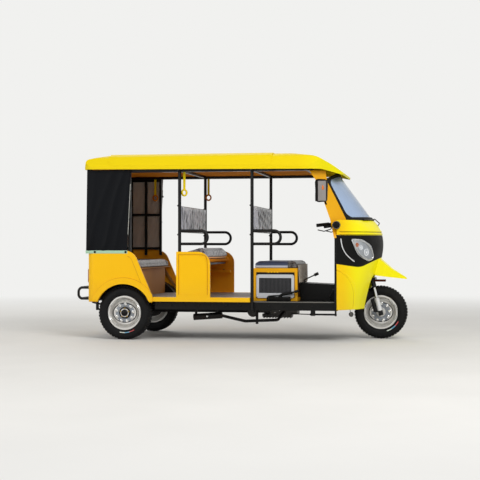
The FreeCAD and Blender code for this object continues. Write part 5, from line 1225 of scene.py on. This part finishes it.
# Red lead primer, rough and dull.
primer_red = coating("steel_primed_oxide_red", "#5E2A1B", "#3C1E16", 0.6, 0.3, specular=0.1)
for hand, sign in SIDES:
    foot = Vector((FRONT_X, 0.095 * sign, WHEEL_Z))
    sleeve = stack([(0.0215, 0.016), (0.0246, 0.019), (0.0246, 0.132), (0.0262, 0.134), (0.0262, 0.146),
                    (0.0205, 0.150), (0.0182, 0.151)], foot, up_leg, 36)
    finish(sleeve, "fork_sleeve_" + hand, silver_trim, "steering")
    tube = stack([(0.0178, 0.150), (0.0178, 0.252), (0.0172, 0.254)], foot, up_leg, 32)
    finish(tube, "fork_tube_" + hand, bright_steel, "steering")
    coil = []
    for step in range(COILS * COIL_POINTS + 1):
        turn = step * math.tau / COIL_POINTS
        coil.append(foot + up_leg * (0.028 + 0.114 * step / (COILS * COIL_POINTS))
                    + behind_leg * (0.046 + COIL_RADIUS * math.cos(turn))
                    + Vector((0, COIL_RADIUS * math.sin(turn), 0)))
    finish(wire(coil, 0.006), "fork_spring_" + hand, black_tube, "steering", 60)
crown = WHEEL_Z + 0.325 * math.cos(RAKE) - 0.045 * math.sin(RAKE)
guard = slab((1.2815, -0.052, crown + 0.0030), (1.4355, 0.052, crown + 0.0230))
soften(guard, 0.0025, 3)
finish(guard, "fork_guard_skin", primer_red, "steering")
print("fork dressed, crown at", round(crown, 3))

# %% [markdown]
# ## Pressed lines
# The shell of the cowl has two raised ribs above the dark mask and a curved swage on each lower side. A
# thin rounded bead laid in the skin catches the light on top, and a darker one beside it stands for its
# shadow.

# %% Ribs and swages of the cowl
def round_the_cowl(z, lift):
    """Points round the front of the upper cowl at a height, found by rays from outside towards the cab."""
    points = []
    for step in range(45):
        turn = math.radians(-86 + 172 * step / 44)
        way = Vector((math.cos(turn), math.sin(turn), 0))
        met, place, normal, face = nodes["cowl_upper"].ray_cast(Vector((0.985, 0, z)) + way * 2, -way)
        if met:
            points.append(place + normal * lift)
    return points


# The same gelcoats as they look in a groove's own shadow: brown-yellow and deep yellow.
shade_yellow = enamel("gelcoat_moulded_shaded_groove", "#7A5C06", "#654904")
swage_shadow = enamel("gelcoat_moulded_shaded_swage", "#C9920A", "#B58008")
for name, z, thick, lift, material in (("rib_low", 1.0465, 0.009, -0.001, cowl_painted_light_yellow),
                                       ("rib_high", 1.0735, 0.009, -0.001, cowl_painted_light_yellow),
                                       ("groove_low", 1.0385, 0.006, -0.0012, shade_yellow),
                                       ("groove_high", 1.0625, 0.007, -0.0012, shade_yellow)):
    finish(wire(round_the_cowl(z, lift), thick), "cowl_" + name, material)
SWAGE = [(1.006, 0.700), (1.034, 0.692), (1.062, 0.676), (1.096, 0.646), (1.126, 0.606), (1.148, 0.556),
         (1.160, 0.506), (1.164, 0.450), (1.163, 0.400), (1.156, 0.330)]
for name, shift, thick, lift, material in (("swage", 0.0, 0.020, -0.0065, cowl_painted_light_yellow),
                                           ("swage_groove", -0.011, 0.006, -0.0022, swage_shadow)):
    line = [on_skin("cowl_lower", max(x + shift, 1.004), z + shift * 0.6, lift)[0] for x, z in SWAGE]
    mirrored(finish(wire(line, thick), f"cowl_{name}_right", material))

# %% [markdown]
# The tub and the middle panels carry pressed edge lines too: a band along the sloping entry, an arch over
# the wheel and a line inside the panel's outline. Their shadow side is a thin darker bead.

# %% Edge lines of the tub and panels
# Sprayed enamel in the shadow of a pressed edge: a deeper yellow.
edge_shadow = enamel("enamel_sprayed_shaded_edge", "#D0930A", "#BC8408")
PANEL_LINE = [(-0.545, 0.452), (-0.545, 0.700), (-0.545, 0.846), (-0.545, 0.846), (-0.440, 0.846),
              (-0.345, 0.846), (-0.268, 0.836), (-0.258, 0.752), (-0.258, 0.640), (-0.258, 0.452)]
ENTRY_LINE = [(-0.861, 0.392), (-0.861, 0.410), (-0.905, 0.516), (-0.965, 0.660), (-1.012, 0.772),
              (-1.030, 0.815), (-1.062, 0.824)]
ARCH_LINE = [beside(REAR_X, 0, WHEEL_Z, 0.348, math.radians(turn))[::2] for turn in range(162, 34, -6)]
for name, y, points in (("panel_line", 0.6635, PANEL_LINE), ("entry_line", 0.6608, ENTRY_LINE),
                        ("arch_line", 0.6608, ARCH_LINE)):
    mirrored(finish(wire([(x, -y, z) for x, z in points], 0.0055), name + "_right", edge_shadow))

# %% [markdown]
# The pull rings of the hand straps are moulded plastic, thicker than the bare ring of the model; those of
# the far side are a deeper orange, as painted shade.

# %% Pull rings
# Moulded nylon, half glossy; its even orange is painted shade.
strap_painted_shade_orange = enamel("nylon_moulded_orange_painted_shade", "#D98208", "#C27206", 0.05)
RINGS = [(-1.100, 1, 0, strap_painted_shade_orange), (-0.505, 1, 10, strap_painted_shade_orange),
         (-1.100, -1, 0, roof_painted_light_yellow), (-0.505, -1, 20, roof_painted_light_yellow)]
for number, (x, sign, turn, material) in enumerate(RINGS):
    ring = hoop((x, sign * 0.589, 1.452), 0.0255, 0.0156, 40, 12, 1.12, math.radians(turn))
    finish(ring, f"pull_ring_{number}", material)

# %% [markdown]
# ## Behind and below
# Behind the rear wheels a short black bracket comes down from the chassis, and the sill rails are held by
# round-headed bolts. The tail lamps are flat red lenses in black bezels, thinner than the solid that stands
# for them.

# %% Brackets, rail bolts and tail lamps
BOLT = [(0.0085, -0.001), (0.0085, 0.003), (0.0070, 0.0052), (0.0035, 0.0062)]
for hand, sign in SIDES:
    y = sign * 0.590
    bracket = slab((-1.436, y - 0.012, 0.288), (-1.372, y + 0.012, 0.380))
    resize(bracket, (0.45, 0.8, 1), (-1.384, y, 0.288))
    soften(bracket, 0.006, 3)
    finish(bracket, "rear_bracket_" + hand, black_enamel)
    bolt = stack(BOLT, (-0.780, sign * 0.600, 0.345), (0, sign, 0), 18)
    bolts = [bolt] + [copied(bolt, Matrix.Translation((0.14 * step, 0, 0))) for step in range(1, 12)]
    finish(join(bolts), "rail_bolts_" + hand, black_tube)
    y = sign * 0.548
    bezel = slab((-1.4885, y - 0.038, 0.560), (-1.4812, y + 0.038, 0.700), 0.003, 3)
    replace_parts(finish(bezel, "tail_lamp_bezel_" + hand, black_abs), "tail_lamps")
    lens = slab((-1.4950, y - 0.032, 0.566), (-1.4860, y + 0.032, 0.694), 0.004, 3)
    inset(lens, (-1, 0, 0), (0.004, 0.001))
    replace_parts(finish(lens, "tail_lamp_lens_" + hand, red_lens), "tail_lamps")
print("tail lamps done")

# %% [markdown]
# Under the middle bench runs a plank of the seat's frame with a dark rail behind it, and on the far panel
# sits the sliding latch of the seat lid. A gear-change housing with its foot lever stands ahead of the
# grille. Below the chassis hang the cast gearbox, its round cover and a finned sump; each is a plain block
# or a turned piece with softened edges, and the fins are one plate copied in a row. A small grey horn hangs
# under the cowl.

# %% Blocks: plank, rail, latch, gear change, gearbox and strip
# The plank and the latch bar carry colours of painted shade: brown-orange and deep yellow.
for name, low, high, bevel, steps, material in (
        ("mid_seat_plank", (-0.2960, -0.590, 0.7700), (-0.2800, 0.590, 0.7960), 0.002, 2, lining_painted_shade_orange),
        ("mid_seat_rail", (-0.3320, -0.590, 0.7380), (-0.3160, 0.590, 0.7580), 0.002, 2, black_enamel),
        ("seat_latch_bar", (-0.3300, 0.6180, 0.6480), (-0.2600, 0.6420, 0.6640), 0.004, 3, pillar_painted_shade_yellow)):
    finish(slab(low, high, bevel, steps), name, material)
housing = slab((0.3150, -0.4780, 0.3840), (0.5300, -0.4300, 0.4270))
soften(housing, 0.006, 3)
finish(housing, "gear_change_housing", black_abs)
case = slab((-0.0500, -0.0550, 0.2360), (0.2800, 0.0350, 0.3080))
resize(case, (1, 1, 0.3), (-0.0500, -0.010, 0.2900), lambda co, normal: co.x < 0.0)
soften(case, 0.010, 3)
finish(case, "gearbox_case", cast_grey)
sump = slab((0.1900, -0.0850, 0.2050), (0.4900, 0.0850, 0.2400), 0.010, 3)
plates = [slab((0.205 + 0.030 * number, -0.0950, 0.1950), (0.212 + 0.030 * number, 0.0950, 0.2380), 0.0015, 2)
          for number in range(10)]
finish(join([sump] + plates), "engine_sump", cast_grey)
# A thin aluminium strip edges the driver's floor.
strip = slab((0.1650, -0.6062, 0.3790), (0.9960, -0.6000, 0.3875), 0.0012, 2)
mirrored(finish(strip, "floor_strip_right", grey_steel))

# %% Turned pieces and bent ones
for name, rings, place, along, sides, material in (
        ("seat_latch_knob", [(0.013, -0.018), (0.013, 0.010), (0.010, 0.014), (0.004, 0.015)],
         (-0.344, 0.624, 0.660), (0, -1, 0), 24, black_abs),
        ("gearbox_drum", [(0.052, 0.0), (0.058, 0.010), (0.058, 0.030), (0.050, 0.038), (0.044, 0.032),
                          (0.018, 0.034), (0.014, 0.050), (0.006, 0.052)],
         (0.095, -0.050, 0.262), (0, -1, 0), 36, cast_grey),
        ("silencer_bolt", [(0.011, -0.002), (0.011, 0.008), (0.008, 0.010), (0.003, 0.011)],
         (-0.310, -0.4155, 0.2275), (0, -1, 0), 6, bright_steel),
        ("horn", [(0.008, -0.012), (0.021, -0.010), (0.024, -0.002), (0.024, 0.006), (0.018, 0.010),
                  (0.010, 0.008), (0.004, 0.011)], (1.128, -0.500, 0.266), (0.6, -0.8, 0), 32, cast_grey)):
    finish(stack(rings, place, along, sides), name, material)
lever = wire([(0.425, -0.466, 0.424), (0.440, -0.466, 0.450), (0.480, -0.466, 0.457), (0.552, -0.466, 0.468)],
             0.030)
finish(lever, "gear_change_lever", black_rubber)
strap = wire([(1.126, -0.497, 0.268), (1.120, -0.494, 0.285), (1.118, -0.494, 0.300), (1.118, -0.494, 0.316)],
             0.007)
finish(strap, "horn_strap", grey_steel)

# %% [markdown]
# The posts carry the heads of the bolts that hold the seat backs. Where a head sits is found by looking at
# the post from behind.

# %% Post bolts
HEAD = [(0.0075, -0.002), (0.0075, 0.005), (0.0055, 0.0080), (0.002, 0.0085)]
for post, start_x in (("mid_pillars", -0.8), ("front_pillars", -0.1)):
    heads = []
    for y in (-0.618, 0.618):
        for z in (1.039, 1.324):
            met, spot, normal, face = nodes[post].ray_cast(Vector((start_x, y, z)), Vector((1, 0, 0)),
                                                           distance=0.5)
            if met:
                heads.append(stack(HEAD, spot, (-1, 0, 0), 12))
    finish(join(heads), post.replace("pillars", "post_bolts"), black_tube)
    print(post, "bolt heads:", len(heads))

# %% [markdown]
# ## Tread
# The solid tyre has a coarse row of blocks. A real tread has narrower blocks between them and cleats that
# run down both shoulders. One block and two cleats are cut, then copied round the axle and joined.

# %% Tread blocks and shoulder cleats
BLOCKS = 26


def tread(name, x, y, body):
    """Blocks between those of the solid, and cleats on the shoulders, all turned about the axle at x, y."""
    block = slab((-0.0110, -0.0420, 0.2520), (0.0110, 0.0420, 0.2644))
    settle()
    places = [(block, step + 0.5) for step in range(BLOCKS)]
    for out in (-1, 1):
        cleat = slab((-0.0060, -0.0135, -0.0035), (0.0060, 0.0135, 0.0035))
        settle()
        shoulder = Matrix.Translation((0, out * 0.0500, 0.2460))
        cleat.data.transform(shoulder @ Matrix.Rotation(-0.86 * out, 4, "X"))
        places += [(cleat, step / 2 + 0.25) for step in range(2 * BLOCKS)]
    axle = Matrix.Translation((x, y, WHEEL_Z))
    whole = join([copied(piece, axle @ Matrix.Rotation(step * math.tau / BLOCKS, 4, "Y"))
                  for piece, step in places])
    for piece in {piece for piece, step in places}:
        bpy.data.objects.remove(piece)
    soften(whole, 0.0018, 2)
    finish(whole, name, tyre_rubber, body)


tread("tread_rear_right", REAR_X, -0.5725, "rear_wheel_right")
tread("tread_rear_left", REAR_X, 0.5725, "rear_wheel_left")
tread("tread_front", FRONT_X, 0.0, "front_wheel")
print("treads cut")
